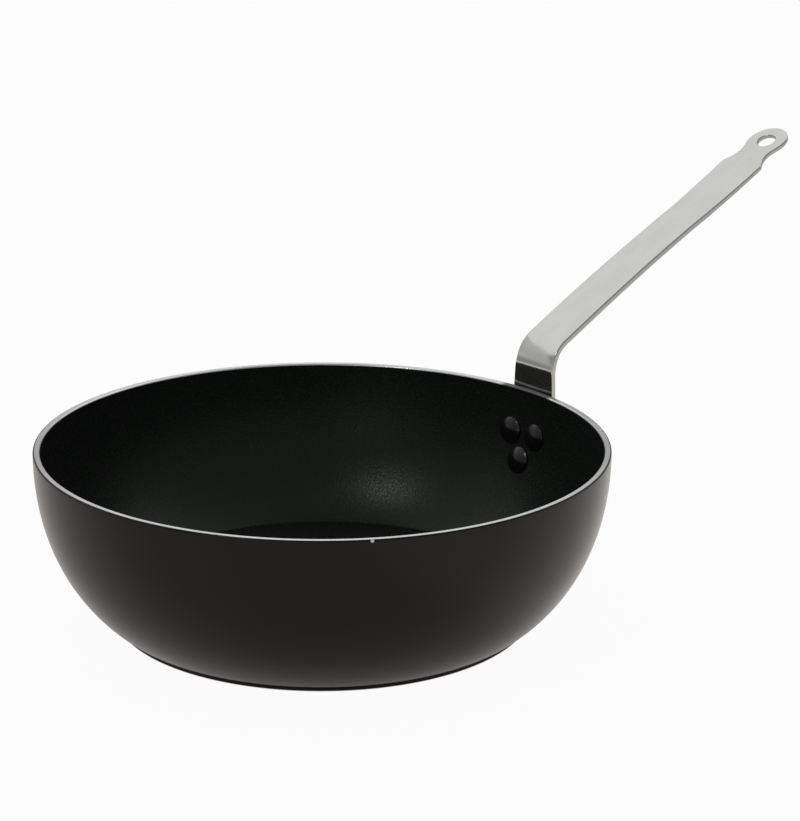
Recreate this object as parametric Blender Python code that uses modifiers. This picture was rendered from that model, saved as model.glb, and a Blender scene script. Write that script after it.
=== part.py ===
"""A nonstick frying pan: a deep, round-sided aluminium bowl with a riveted steel strip handle.

Lengths are in metres and +Z is up. The origin is the centre of the base, where the pan rests, and
the handle points along +X. The bowl and its two finishes are turned about the Z axis. The handle is
a flat blank, cut to its outline and then bent to its side view. Each rivet is turned about its own
axis, which is square to the wall, and one drill goes through everything that the rivet holds.
"""
import math

import bmesh
import bpy
from mathutils import Matrix, Vector

# The bowl's outer surface
RIM_RADIUS = 0.140
PAN_HEIGHT = 0.0869
BASE_RADIUS = 0.1027
FOOT_HEIGHT = 0.0016
WALL_RIM_ANGLE = math.radians(0.9)      # how far the wall opens outwards just below the rim
WALL_RIM_REACH = 0.0520                 # how long the wall keeps that direction
WALL_FOOT_ANGLE = math.radians(34.0)    # the wall's slope where it meets the foot
WALL_FOOT_REACH = 0.0152                # how long the wall keeps that slope

# The bowl's thickness and its finishes
WALL_THICKNESS = 0.0035
FLOOR_HEIGHT = 0.0075
FLOOR_FILLET = 0.0060
COATING_THICKNESS = 0.0003
RIM_EDGE = 0.0003                       # bevel on the bare metal's edges
RIM_BARE = 0.0003                       # how far the finishes stop below the rim's top face
FOOT_BARE = 0.0004                      # how far the outer finish stops above the table

# The rivets
RIVET_DROP = 0.0238                     # from the rim down to the upper pair
RIVET_SPREAD = 0.0184                   # between the upper two
RIVET_PITCH = 0.0147                    # from the upper pair down to the lower one, along the foot
SHANK_DIAMETER = 0.0060
HEAD_DIAMETER = 0.0140
HEAD_HEIGHT = 0.0032
TAIL_DIAMETER = 0.0100
TAIL_HEIGHT = 0.0018

# The handle's strip, side view
STRIP_THICKNESS = 0.0030
STRIP_EDGE = 0.0006                     # rounding along the strip's edges
TAB_STANDOFF = 0.0006                   # how far the tab stands off the rim, past the fit gap
TAB_HEIGHT = 0.0086                     # upright length above the rim
BEND_RADIUS = 0.0191                    # on the strip's underside
ARM_RISE = math.radians(28.8)           # slope where the bend ends
ARM_DROOP = math.radians(3.7)           # slope lost from there to the pressed end
ARM_LENGTH = 0.1843                     # from the bend's end to the hanging eye's centre

# The strip's end, which is pressed thinner and turns slightly upwards
END_LENGTH = 0.0590                     # from where the pressing starts to the shoulder
END_THICKNESS = 0.0024
END_STEP = 0.0003                       # how far the pressing lowers the top face
END_RAMP = 0.0170                       # length over which it lowers it
END_LIFT = math.radians(2.6)            # slope gained from the pressing's start to the shoulder

# The handle's strip, outline
FOOT_EDGE_DISTANCE = 0.0090             # from a rivet's centre to the foot's edge
FOOT_TAPER = 0.0114                     # length over which the foot narrows to the tab
TAB_WIDTH = 0.0291
ARM_WIDTH = 0.0262                      # where the bend ends
WAIST_WIDTH = 0.0253                    # where the pressed end starts
END_WIDTH = 0.0270                      # at the shoulder
SHOULDER_ANGLE = math.radians(33.0)     # how far the outline turns in at the shoulder's corner
SHOULDER_REACH = 0.0040                 # how long the outline keeps that direction
SHOULDER_TAPER = 0.0108                 # length over which the end narrows to the neck
NECK_WIDTH = 0.0195
NECK_TO_EYE = 0.0112
EYE_DIAMETER = 0.0240
EYE_HOLE_DIAMETER = 0.0104

# Clearance between pieces, and how finely round shapes are divided
FIT_GAP = 0.0003
BOWL_SEGMENTS = 64
WALL_STEPS = 10
FILLET_STEPS = 3
RIVET_SEGMENTS = 16
OUTLINE_STEPS = 5
FOOT_STEP = 0.0060
BEND_STEPS = 8
ARM_STEPS = 3
END_STEPS = 6
CIRCLE_REACH = 4 / 3 * (math.sqrt(2) - 1)    # guide length that makes a quarter circle of radius 1
TAPER_REACH = 0.45                      # guide length of a taper, as a share of the taper
SHARP_ANGLE = math.radians(32)          # edges sharper than this stay sharp when shaded
WELD = 0.000001                         # points closer than this are one point

BODY_METAL = ("bare_aluminium", (0.72, 0.72, 0.71), 0.32, 1.0)
COOKING_COAT = ("black_nonstick", (0.012, 0.012, 0.012), 0.38, 0.0)
OUTSIDE_COAT = ("satin_black", (0.020, 0.020, 0.021), 0.45, 0.0)
STRIP_STEEL = ("polished_steel", (0.66, 0.66, 0.64), 0.16, 1.0)
RIVET_COAT = ("coated_rivet", (0.016, 0.016, 0.016), 0.36, 0.0)


def clear_scene():
    """Remove every object, so that the model starts from nothing."""
    for item in list(bpy.data.objects):
        bpy.data.objects.remove(item, do_unlink=True)


def make_collection(name):
    """A new collection in the scene."""
    group = bpy.data.collections.new(name)
    bpy.context.scene.collection.children.link(group)
    return group


def make_material(name, colour, roughness, metallic):
    """A plain finish: one colour, one roughness, metal or not."""
    material = bpy.data.materials.new(name)
    material.use_nodes = True
    shader = material.node_tree.nodes["Principled BSDF"]
    shader.inputs["Base Color"].default_value = (*colour, 1.0)
    shader.inputs["Roughness"].default_value = roughness
    shader.inputs["Metallic"].default_value = metallic
    material.diffuse_color = (*colour, 1.0)
    return material


def wall_guides():
    """The four guide points of the wall's outer curve in section, from the rim to the foot."""
    rim = Vector((RIM_RADIUS, PAN_HEIGHT))
    foot = Vector((BASE_RADIUS, FOOT_HEIGHT))
    below_rim = rim + WALL_RIM_REACH * Vector((math.sin(WALL_RIM_ANGLE), -math.cos(WALL_RIM_ANGLE)))
    above_foot = foot + WALL_FOOT_REACH * Vector((math.cos(WALL_FOOT_ANGLE), math.sin(WALL_FOOT_ANGLE)))
    return rim, below_rim, above_foot, foot


def wall_direction(t):
    """The direction down the wall's outer curve at t, which is 0 at the rim and 1 at the foot."""
    a, b, c, d = wall_guides()
    u = 1 - t
    return 3 * (u * u * (b - a) + 2 * u * t * (c - b) + t * t * (d - c))


def wall_point(t, inset=0.0):
    """A point (radius, height) of the wall at t, moved into the metal by inset, square to the wall."""
    a, b, c, d = wall_guides()
    u = 1 - t
    point = u * u * u * a + 3 * u * u * t * b + 3 * u * t * t * c + t * t * t * d
    return point - inset * wall_normal(t)


def wall_normal(t):
    """The wall's outward direction at t."""
    down = wall_direction(t).normalized()
    return Vector((-down.y, down.x))


def wall_curve_radius(t):
    """The radius of the wall's curve in section at t."""
    step = 0.001
    turn = wall_direction(t - step).angle(wall_direction(t + step))
    length = (wall_point(t + step) - wall_point(t - step)).length
    return length / turn


def smooth(share):
    """An easy rise from 0 to 1 as share goes from 0 to 1, and level beyond both."""
    share = min(max(share, 0.0), 1.0)
    return share * share * (3 - 2 * share)


def bent(point, slope, turn, length):
    """The far end of an even bend in side view, which starts at the point with that slope."""
    if turn == 0:
        return point + length * Vector((math.cos(slope), math.sin(slope)))
    after = slope + turn
    across = Vector((math.sin(after) - math.sin(slope), math.cos(slope) - math.cos(after)))
    return point + length / turn * across


def solve(function, low, high):
    """Where the function changes sign between low and high, by halving."""
    sign = function(low) > 0
    for _ in range(60):
        middle = (low + high) / 2
        if (function(middle) > 0) == sign:
            low = middle
        else:
            high = middle
    return (low + high) / 2


def rim_point(inset, drop):
    """A point straight below the rim's top face, inset from the rim's outer edge."""
    return Vector((RIM_RADIUS - inset, PAN_HEIGHT - drop))


def foot_corner(inset):
    """Where the wall meets the foot's upright side, for a surface inset into the metal."""
    rise = inset * (1 - math.sin(WALL_FOOT_ANGLE)) / math.cos(WALL_FOOT_ANGLE)
    return Vector((BASE_RADIUS - inset, FOOT_HEIGHT + rise))


def outside_line(inset, top_drop, bottom):
    """The outside in section, from the rim down the wall and the foot."""
    wall = [wall_point(i / WALL_STEPS, inset) for i in range(1, WALL_STEPS + 1)]
    foot = [foot_corner(inset), Vector((BASE_RADIUS - inset, bottom))]
    if inset == 0:
        wall.pop()
    return [rim_point(inset, top_drop)] + wall + foot


def inside_line(depth, top_drop):
    """The inside in section, from the floor's centre out and up to the rim.

    depth is how far the surface lies below the cooking surface.
    """
    inset = WALL_THICKNESS - depth
    radius = FLOOR_FILLET + depth
    centre_height = FLOOR_HEIGHT + FLOOR_FILLET
    t_end = solve(lambda t: wall_point(t, WALL_THICKNESS + FLOOR_FILLET).y - centre_height, 0, 1)
    centre = wall_point(t_end, inset + radius)
    out = wall_normal(t_end)
    start = -math.pi / 2
    turn = math.atan2(out.y, out.x) - start
    angles = [start + turn * i / FILLET_STEPS for i in range(FILLET_STEPS)]
    fillet = [centre + radius * Vector((math.cos(a), math.sin(a))) for a in angles]
    wall = [wall_point(t_end * (1 - i / WALL_STEPS), inset) for i in range(WALL_STEPS)]
    return [Vector((0.0, FLOOR_HEIGHT - depth))] + fillet + wall + [rim_point(inset, top_drop)]


def turned(name, line, closed, segments, group, material):
    """A turned solid: a section line that runs down its outer side, swept about the object's Z axis."""
    mesh = bpy.data.meshes.new(name)
    count = len(line)
    edges = [(i, i + 1) for i in range(count - 1)]
    if closed:
        edges.append((count - 1, 0))
    mesh.from_pydata([(p.x, 0.0, p.y) for p in line], edges, [])
    item = bpy.data.objects.new(name, mesh)
    group.objects.link(item)
    screw = item.modifiers.new("turn", "SCREW")
    screw.axis = "Z"
    screw.steps = segments
    screw.render_steps = segments
    screw.use_merge_vertices = True
    screw.merge_threshold = WELD
    if material is not None:
        mesh.materials.append(material)
    return item


def finished(item):
    """The object with its turning made into a plain mesh, shaded smooth except at its edges."""
    graph = bpy.context.evaluated_depsgraph_get()
    mesh = bpy.data.meshes.new_from_object(item.evaluated_get(graph))
    item.modifiers.clear()
    item.data = mesh
    mesh.shade_smooth()
    mesh.set_sharp_from_angle(angle=SHARP_ANGLE)
    return item


def make_body(group, material):
    """The aluminium bowl, bare at the rim and under the base, with room for its finishes."""
    skin = COATING_THICKNESS + FIT_GAP
    inside = inside_line(skin, RIM_EDGE)
    outside = outside_line(skin, RIM_EDGE, RIM_EDGE)
    rim = [rim_point(WALL_THICKNESS - skin - RIM_EDGE, 0), rim_point(skin + RIM_EDGE, 0)]
    base = [Vector((BASE_RADIUS - skin - RIM_EDGE, 0.0)), Vector((0.0, 0.0))]
    line = inside + rim + outside + base
    return finished(turned("pan_body", line, False, BOWL_SEGMENTS, group, material))


def make_cooking_coat(group, material):
    """The nonstick coating over the whole inside."""
    top = inside_line(0.0, RIM_BARE)
    back = inside_line(COATING_THICKNESS, RIM_BARE)
    line = top + back[::-1]
    return finished(turned("nonstick_coating", line, False, BOWL_SEGMENTS, group, material))


def make_outside_coat(group, material):
    """The black finish on the outside, from the rim to just above the table."""
    front = outside_line(0.0, RIM_BARE, FOOT_BARE)
    back = outside_line(COATING_THICKNESS, RIM_BARE, FOOT_BARE)
    line = front + back[::-1]
    return finished(turned("outer_coating", line, True, BOWL_SEGMENTS, group, material))


class StripPath:
    """The handle's inner face in side view, by the distance along the strip from the foot's tip.

    The foot follows the wall at the fit gap, the tab stands upright and flat, the bend turns outwards,
    the arm runs out with a slight droop, and the pressed end turns up again to the hanging eye.
    """

    SAMPLES = 200

    def __init__(self):
        opens = wall_direction(0).x > 0
        self.belly = solve(lambda t: wall_direction(t).x, 0, 0.9) if opens else 0.0
        upper = solve(lambda t: wall_point(t).y - (PAN_HEIGHT - RIVET_DROP), 0, 1)
        self.table = self.wall_table()
        self.upper_depth = self.depth_at(upper)
        self.lower_depth = self.upper_depth + RIVET_PITCH
        self.foot_length = self.lower_depth + FOOT_EDGE_DISTANCE
        self.side = wall_point(self.belly, -FIT_GAP)
        self.tab_end = self.foot_length + PAN_HEIGHT + TAB_HEIGHT - self.side.y
        self.bend_turn = math.pi / 2 - ARM_RISE
        self.bend_end = self.tab_end + self.bend_turn * (BEND_RADIUS + STRIP_THICKNESS)
        self.eye = self.bend_end + ARM_LENGTH
        self.end = self.eye + EYE_DIAMETER / 2
        self.rim = self.foot_length + PAN_HEIGHT - self.side.y
        self.upper = self.foot_length - self.upper_depth
        self.taper_end = self.upper + FOOT_TAPER
        self.neck = self.eye - NECK_TO_EYE
        self.shoulder = self.neck - SHOULDER_TAPER
        self.press = self.shoulder - END_LENGTH
        arm = (self.press - self.bend_end, -ARM_DROOP)
        self.stretches = (arm, (END_LENGTH, END_LIFT), (self.end, 0.0))

    def wall_table(self):
        """Pairs of t and the distance down the wall from its widest place, at the strip's inner face."""
        table = [(self.belly, 0.0)]
        last = wall_point(self.belly, -FIT_GAP)
        for i in range(1, self.SAMPLES + 1):
            t = self.belly + (1 - self.belly) * i / self.SAMPLES
            point = wall_point(t, -FIT_GAP)
            table.append((t, table[-1][1] + (point - last).length))
            last = point
        return table

    def depth_at(self, t):
        """The distance down the wall at t."""
        for (t0, d0), (t1, d1) in zip(self.table, self.table[1:]):
            if t <= t1:
                return d0 + (d1 - d0) * (t - t0) / (t1 - t0)
        return self.table[-1][1]

    def wall_t(self, depth):
        """The wall's t at a distance down from its widest place."""
        for (t0, d0), (t1, d1) in zip(self.table, self.table[1:]):
            if depth <= d1:
                return t0 + (t1 - t0) * (depth - d0) / (d1 - d0)
        return 1.0

    def along(self, s):
        """The point of the inner face at s, and the direction that the inner face looks in."""
        if s < self.foot_length:
            t = self.wall_t(self.foot_length - s)
            return wall_point(t, -FIT_GAP), -wall_normal(t)
        if s < self.tab_end:
            return self.side + Vector((0.0, s - self.foot_length)), Vector((-1.0, 0.0))
        radius = BEND_RADIUS + STRIP_THICKNESS
        turn = min((s - self.tab_end) / radius, self.bend_turn)
        heading = math.pi / 2 - turn
        centre = self.side + Vector((radius, self.tab_end - self.foot_length))
        looks = Vector((-math.sin(heading), math.cos(heading)))
        point = centre + radius * looks
        slope = heading
        run = s - self.bend_end
        for length, turn in self.stretches:
            if run <= 0:
                break
            part = min(run, length)
            point = bent(point, slope, turn * part / length, part)
            slope += turn * part / length
            run -= part
        return point, Vector((-math.sin(slope), math.cos(slope)))

    def clear_of_wall(self, s):
        """How far the strip has left the wall on its way up to the rim, from 0 to 1."""
        return smooth((s - self.taper_end) / (self.rim - self.taper_end))

    def pressed(self, s, depth):
        """The depth behind the inner face's line, once the end is pressed thinner."""
        thinned = END_THICKNESS / STRIP_THICKNESS - 1
        share = 1 + thinned * smooth((s - self.press) / END_LENGTH)
        return END_STEP * smooth((s - self.press) / END_RAMP) + depth * share

    def place(self, s, w, depth):
        """The world point that is s along the strip, w across it and depth behind its inner face."""
        point, looks = self.along(s)
        clear = self.clear_of_wall(s)
        point = point + Vector((TAB_STANDOFF * clear, 0.0))
        depth = self.pressed(s, depth)
        roll = (1 - clear) / point.x
        angle = roll * w
        across = math.sin(angle) / roll if roll > 0 else w
        drawn_in = (1 - math.cos(angle)) / roll if roll > 0 else 0.0
        back = -depth * looks.x
        x = point.x - drawn_in + back * math.cos(angle)
        y = across + back * math.sin(angle)
        return Vector((x, y, point.y - depth * looks.y))

    def stations(self):
        """The distances along the strip at which the blank is divided for bending."""
        count = math.ceil(self.tab_end / FOOT_STEP)
        foot = [self.tab_end * i / count for i in range(1, count + 1)]
        bend_length = self.bend_end - self.tab_end
        bend = [self.tab_end + bend_length * i / BEND_STEPS for i in range(1, BEND_STEPS + 1)]
        arm_length = self.press - self.bend_end
        arm = [self.bend_end + arm_length * i / ARM_STEPS for i in range(1, ARM_STEPS)]
        end = [self.press + END_LENGTH * i / END_STEPS for i in range(END_STEPS + 1)]
        return foot + bend + arm + end


def outline_half(path):
    """One half of the blank's outline, as points (along, across) with their guides ahead and behind.

    The first and last points lie on the middle line, where the outline runs straight across.
    """
    foot_half = RIVET_SPREAD / 2 + FOOT_EDGE_DISTANCE
    eye_radius = EYE_DIAMETER / 2
    corner = (path.shoulder, END_WIDTH / 2)
    turn_in = SHOULDER_REACH * Vector((math.cos(SHOULDER_ANGLE), -math.sin(SHOULDER_ANGLE)))
    places = [(path.upper, foot_half), (path.taper_end, TAB_WIDTH / 2), (path.bend_end, ARM_WIDTH / 2),
              (path.press, WAIST_WIDTH / 2), corner, (path.neck, NECK_WIDTH / 2), (path.eye, eye_radius)]
    half = [(Vector((0.0, 0.0)), Vector((0.0, CIRCLE_REACH * foot_half)), Vector((0.0, 0.0)))]
    for i, place in enumerate(places):
        before = places[i - 1][0] if i else 0.0
        after = places[i + 1][0] if i + 1 < len(places) else path.end
        back = (place[0] - before) * (CIRCLE_REACH if i == 0 else TAPER_REACH)
        ahead = (after - place[0]) * (CIRCLE_REACH if i + 1 == len(places) else TAPER_REACH)
        leaves = turn_in if place is corner else Vector((ahead, 0.0))
        half.append((Vector(place), leaves, Vector((back, 0.0))))
    half.append((Vector((path.end, 0.0)), Vector((0.0, 0.0)), Vector((0.0, -CIRCLE_REACH * eye_radius))))
    return half


def add_outline(curve, path):
    """The blank's outer edge: one half, and its mirror image back to the start."""
    half = outline_half(path)
    points = [(p, p - back, p + ahead) for p, ahead, back in half]
    first = points[0]
    last = points[-1]
    flip = Vector((1.0, -1.0))
    points[0] = (first[0], first[2] * flip, first[2])
    points[-1] = (last[0], last[1], last[1] * flip)
    back = [(p * flip, ahead * flip, behind * flip) for p, behind, ahead in points[-2:0:-1]]
    add_spline(curve, points + back)


def add_circle(curve, centre, radius):
    """A round hole in the blank."""
    points = []
    for i in range(4):
        out = Vector((math.cos(i * math.pi / 2), math.sin(i * math.pi / 2)))
        round_way = Vector((-out.y, out.x)) * radius * CIRCLE_REACH
        p = centre + radius * out
        points.append((p, p - round_way, p + round_way))
    add_spline(curve, points)


def add_spline(curve, points):
    """A closed smooth spline through points given with their guides behind and ahead."""
    spline = curve.splines.new("BEZIER")
    spline.bezier_points.add(len(points) - 1)
    spline.use_cyclic_u = True
    for knot, (place, behind, ahead) in zip(spline.bezier_points, points):
        knot.handle_left_type = "FREE"
        knot.handle_right_type = "FREE"
        knot.co = (*place, 0.0)
        knot.handle_left = (*behind, 0.0)
        knot.handle_right = (*ahead, 0.0)


def make_blank(path, group):
    """The handle's flat blank: its outline and hanging eye, with rounded edges, as a closed mesh."""
    curve = bpy.data.curves.new("handle_blank", "CURVE")
    curve.dimensions = "2D"
    curve.fill_mode = "BOTH"
    curve.resolution_u = OUTLINE_STEPS
    curve.extrude = STRIP_THICKNESS / 2 - STRIP_EDGE
    curve.bevel_depth = STRIP_EDGE
    curve.bevel_resolution = 0
    curve.offset = -STRIP_EDGE
    add_outline(curve, path)
    add_circle(curve, Vector((path.eye, 0.0)), EYE_HOLE_DIAMETER / 2)
    blank = bpy.data.objects.new("handle_blank", curve)
    group.objects.link(blank)
    bpy.context.view_layer.update()
    graph = bpy.context.evaluated_depsgraph_get()
    mesh = bpy.data.meshes.new_from_object(blank.evaluated_get(graph))
    handle = bpy.data.objects.new("handle", mesh)
    handle.matrix_world = blank.matrix_world
    group.objects.link(handle)
    bpy.data.objects.remove(blank, do_unlink=True)
    return handle


def divide(work, place, normal, limit):
    """Cut every face of the blank that lies wholly before limit along a plane across or along it."""
    faces = [f for f in work.faces if max(v.co.x for v in f.verts) <= limit]
    edges = {e for f in faces for e in f.edges}
    verts = {v for f in faces for v in f.verts}
    bmesh.ops.bisect_plane(work, geom=[*verts, *edges, *faces], dist=WELD, plane_co=place, plane_no=normal)


def make_handle(path, group, material):
    """The handle: the blank divided where it bends, then bent to the side view."""
    handle = make_blank(path, group)
    work = bmesh.new()
    work.from_mesh(handle.data)
    bmesh.ops.remove_doubles(work, verts=work.verts, dist=WELD)
    for s in path.stations():
        divide(work, Vector((s, 0.0, 0.0)), Vector((1.0, 0.0, 0.0)), path.end + STRIP_THICKNESS)
    foot_half = RIVET_SPREAD / 2 + FOOT_EDGE_DISTANCE
    count = math.ceil(2 * foot_half / FOOT_STEP)
    for i in range(1, count):
        w = foot_half * (2 * i / count - 1)
        divide(work, Vector((0.0, w, 0.0)), Vector((0.0, 1.0, 0.0)), path.bend_end + STRIP_EDGE)
    for vert in work.verts:
        vert.co = path.place(vert.co.x, vert.co.y, STRIP_THICKNESS / 2 - vert.co.z)
    bmesh.ops.triangulate(work, faces=[f for f in work.faces if len(f.verts) > 4])
    work.to_mesh(handle.data)
    work.free()
    handle.data.materials.clear()
    handle.data.materials.append(material)
    handle.data.shade_smooth()
    handle.data.set_sharp_from_angle(angle=SHARP_ANGLE)
    return handle


def rivet_frame(path, depth, across):
    """Where a rivet sits: the origin on the wall's outer surface and Z square to it, outwards."""
    t = path.wall_t(depth)
    on_wall = wall_point(t)
    out = wall_normal(t)
    turn = Matrix.Rotation(across / wall_point(t, -FIT_GAP).x, 4, "Z")
    z_axis = Vector((out.x, 0.0, out.y))
    y_axis = Vector((0.0, 1.0, 0.0))
    x_axis = y_axis.cross(z_axis)
    frame = Matrix((x_axis, y_axis, z_axis)).transposed().to_4x4()
    frame.translation = Vector((on_wall.x, 0.0, on_wall.y))
    return turn @ frame, t


def dome(radius, height, base, steps=3):
    """A low dome's section from its top down to its edge, standing on base along +Z."""
    ball = (radius * radius + height * height) / (2 * height)
    sweep = math.asin(min(radius / ball, 1.0))
    angles = [sweep * i / steps for i in range(steps + 1)]
    return [Vector((ball * math.sin(a), base + height - ball * (1 - math.cos(a)))) for a in angles]


def make_rivet(name, path, depth, across, group, cutters, material):
    """One rivet, and the drill for its hole through the wall, its finishes and the handle's foot."""
    frame, t = rivet_frame(path, depth, across)
    facet_dip = RIM_RADIUS * (1 - math.cos(math.pi / BOWL_SEGMENTS))
    tightest = min(wall_curve_radius(t), RIM_RADIUS) - WALL_THICKNESS
    hollow = (HEAD_DIAMETER / 2) ** 2 / (2 * tightest)
    inner_seat = -WALL_THICKNESS - FIT_GAP - facet_dip - hollow
    outer_seat = FIT_GAP + STRIP_THICKNESS + FIT_GAP
    shank = SHANK_DIAMETER / 2
    tail = dome(TAIL_DIAMETER / 2, TAIL_HEIGHT, outer_seat)
    head = [Vector((p.x, 2 * inner_seat - p.y)) for p in dome(HEAD_DIAMETER / 2, HEAD_HEIGHT, inner_seat)]
    line = tail + [Vector((shank, outer_seat)), Vector((shank, inner_seat))] + head[::-1]
    rivet = finished(turned(name, line, False, RIVET_SEGMENTS, group, material))
    rivet.matrix_world = frame
    reach = WALL_THICKNESS + STRIP_THICKNESS + HEAD_DIAMETER
    hole = shank + FIT_GAP
    ends = [Vector((0.0, reach)), Vector((hole, reach)), Vector((hole, -reach)), Vector((0.0, -reach))]
    drill = finished(turned(name + "_drill", ends, False, RIVET_SEGMENTS, cutters, None))
    drill.matrix_world = frame
    drill.hide_render = True
    drill.display_type = "WIRE"
    return rivet, drill


def cut_holes(item, drills):
    """Drill the rivets' holes through a piece."""
    for drill in drills:
        hole = item.modifiers.new(drill.name, "BOOLEAN")
        hole.operation = "DIFFERENCE"
        hole.solver = "EXACT"
        hole.object = drill


def main():
    """Build the pan, piece by piece."""
    clear_scene()
    group = make_collection("nonstick_frying_pan")
    cutters = make_collection("cutters")
    path = StripPath()
    held = [
        make_body(group, make_material(*BODY_METAL)),
        make_cooking_coat(group, make_material(*COOKING_COAT)),
        make_outside_coat(group, make_material(*OUTSIDE_COAT)),
        make_handle(path, group, make_material(*STRIP_STEEL)),
    ]
    rivet_finish = make_material(*RIVET_COAT)
    places = [
        ("rivet_upper_left", path.upper_depth, RIVET_SPREAD / 2),
        ("rivet_upper_right", path.upper_depth, -RIVET_SPREAD / 2),
        ("rivet_lower", path.lower_depth, 0.0),
    ]
    drills = [make_rivet(name, path, depth, across, group, cutters, rivet_finish)[1]
              for name, depth, across in places]
    for item in held:
        cut_holes(item, drills)
    bpy.context.view_layer.update()


main()
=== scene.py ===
"""The looks of a nonstick frying pan: a deep aluminium bowl with a riveted steel strip handle.

Lengths are in metres and +Z is up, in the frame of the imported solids: the origin is the centre of
the base, and the handle points along +X. The bowl, its two finishes and the rivets are turned by
Geometry Nodes from section lines. The handle is a flat blank, bent to its side view point by point.
"""
import logging
import math
from dataclasses import dataclass, field
from enum import Enum
from typing import Any, Callable, Dict, List, Optional, Sequence, Tuple, Union

import bmesh
import bpy
from mathutils import Matrix, Vector


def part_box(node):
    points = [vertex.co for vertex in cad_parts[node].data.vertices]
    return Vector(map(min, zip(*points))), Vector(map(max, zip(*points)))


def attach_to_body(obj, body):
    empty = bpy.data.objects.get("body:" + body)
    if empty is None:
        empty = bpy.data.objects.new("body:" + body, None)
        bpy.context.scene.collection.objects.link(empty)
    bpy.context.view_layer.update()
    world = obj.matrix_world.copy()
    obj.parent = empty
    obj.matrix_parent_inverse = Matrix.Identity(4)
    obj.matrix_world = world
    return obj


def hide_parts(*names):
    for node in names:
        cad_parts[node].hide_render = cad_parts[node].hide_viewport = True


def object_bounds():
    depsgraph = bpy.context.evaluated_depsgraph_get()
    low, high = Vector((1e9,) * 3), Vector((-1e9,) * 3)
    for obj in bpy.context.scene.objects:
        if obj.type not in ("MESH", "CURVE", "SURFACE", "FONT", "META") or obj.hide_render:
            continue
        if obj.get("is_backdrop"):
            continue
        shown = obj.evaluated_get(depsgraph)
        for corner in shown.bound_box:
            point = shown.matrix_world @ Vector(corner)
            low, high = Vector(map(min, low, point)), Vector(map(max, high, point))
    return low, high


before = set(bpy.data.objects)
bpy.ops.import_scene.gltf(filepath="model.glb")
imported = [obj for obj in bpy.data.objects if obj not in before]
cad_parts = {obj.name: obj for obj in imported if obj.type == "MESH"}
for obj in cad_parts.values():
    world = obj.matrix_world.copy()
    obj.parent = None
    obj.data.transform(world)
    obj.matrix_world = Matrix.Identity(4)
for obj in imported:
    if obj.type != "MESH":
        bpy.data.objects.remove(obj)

BODY = "root"
WELD = 0.000001
SHARP_ANGLE = math.radians(32)
CIRCLE_REACH = 4 / 3 * (math.sqrt(2) - 1)
HALVINGS = 60
MILLIMETRES = 1000
STRIP_MAP = "strip"
WHITE = (1.0, 1.0, 1.0, 1.0)

Colour = Tuple[float, float, float]
Point = Tuple[float, float, float]
Limits = Tuple[float, float]
Guides = Tuple[Vector, Vector, Vector, Vector]
Value = Union[float, "Signal"]
Inputs = Optional[Dict[Any, Any]]
Output = Union[int, str]

log = logging.getLogger("pan")


class Slot(Enum):
    """The record's material slots."""

    BARE_METAL = "bare_aluminium"
    COOKING_COAT = "black_nonstick"
    OUTSIDE_COAT = "satin_black"
    STRIP_STEEL = "polished_steel"
    RIVET_COAT = "coated_rivet"


class Signal:
    """A socket's value, which plain arithmetic turns into Math nodes."""

    def __init__(self, graph: "NodeGraph", socket: bpy.types.NodeSocket) -> None:
        """Wrap one output socket of the graph."""
        self.graph = graph
        self.socket = socket

    def __add__(self, other: Value) -> "Signal":
        """This value plus another."""
        return self.graph.math("ADD", self, other)

    def __radd__(self, other: Value) -> "Signal":
        """Another value plus this one."""
        return self.graph.math("ADD", other, self)

    def __sub__(self, other: Value) -> "Signal":
        """This value less another."""
        return self.graph.math("SUBTRACT", self, other)

    def __rsub__(self, other: Value) -> "Signal":
        """Another value less this one."""
        return self.graph.math("SUBTRACT", other, self)

    def __mul__(self, other: Value) -> "Signal":
        """This value times another."""
        return self.graph.math("MULTIPLY", self, other)

    def __rmul__(self, other: Value) -> "Signal":
        """Another value times this one."""
        return self.graph.math("MULTIPLY", other, self)

    def __truediv__(self, other: Value) -> "Signal":
        """This value divided by another."""
        return self.graph.math("DIVIDE", self, other)

    def __rtruediv__(self, other: Value) -> "Signal":
        """Another value divided by this one."""
        return self.graph.math("DIVIDE", other, self)

    def __gt__(self, other: Value) -> "Signal":
        """One where this value is the greater, and nothing elsewhere."""
        return self.graph.math("GREATER_THAN", self, other)

    def __lt__(self, other: Value) -> "Signal":
        """One where this value is the smaller, and nothing elsewhere."""
        return self.graph.math("LESS_THAN", self, other)


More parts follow.
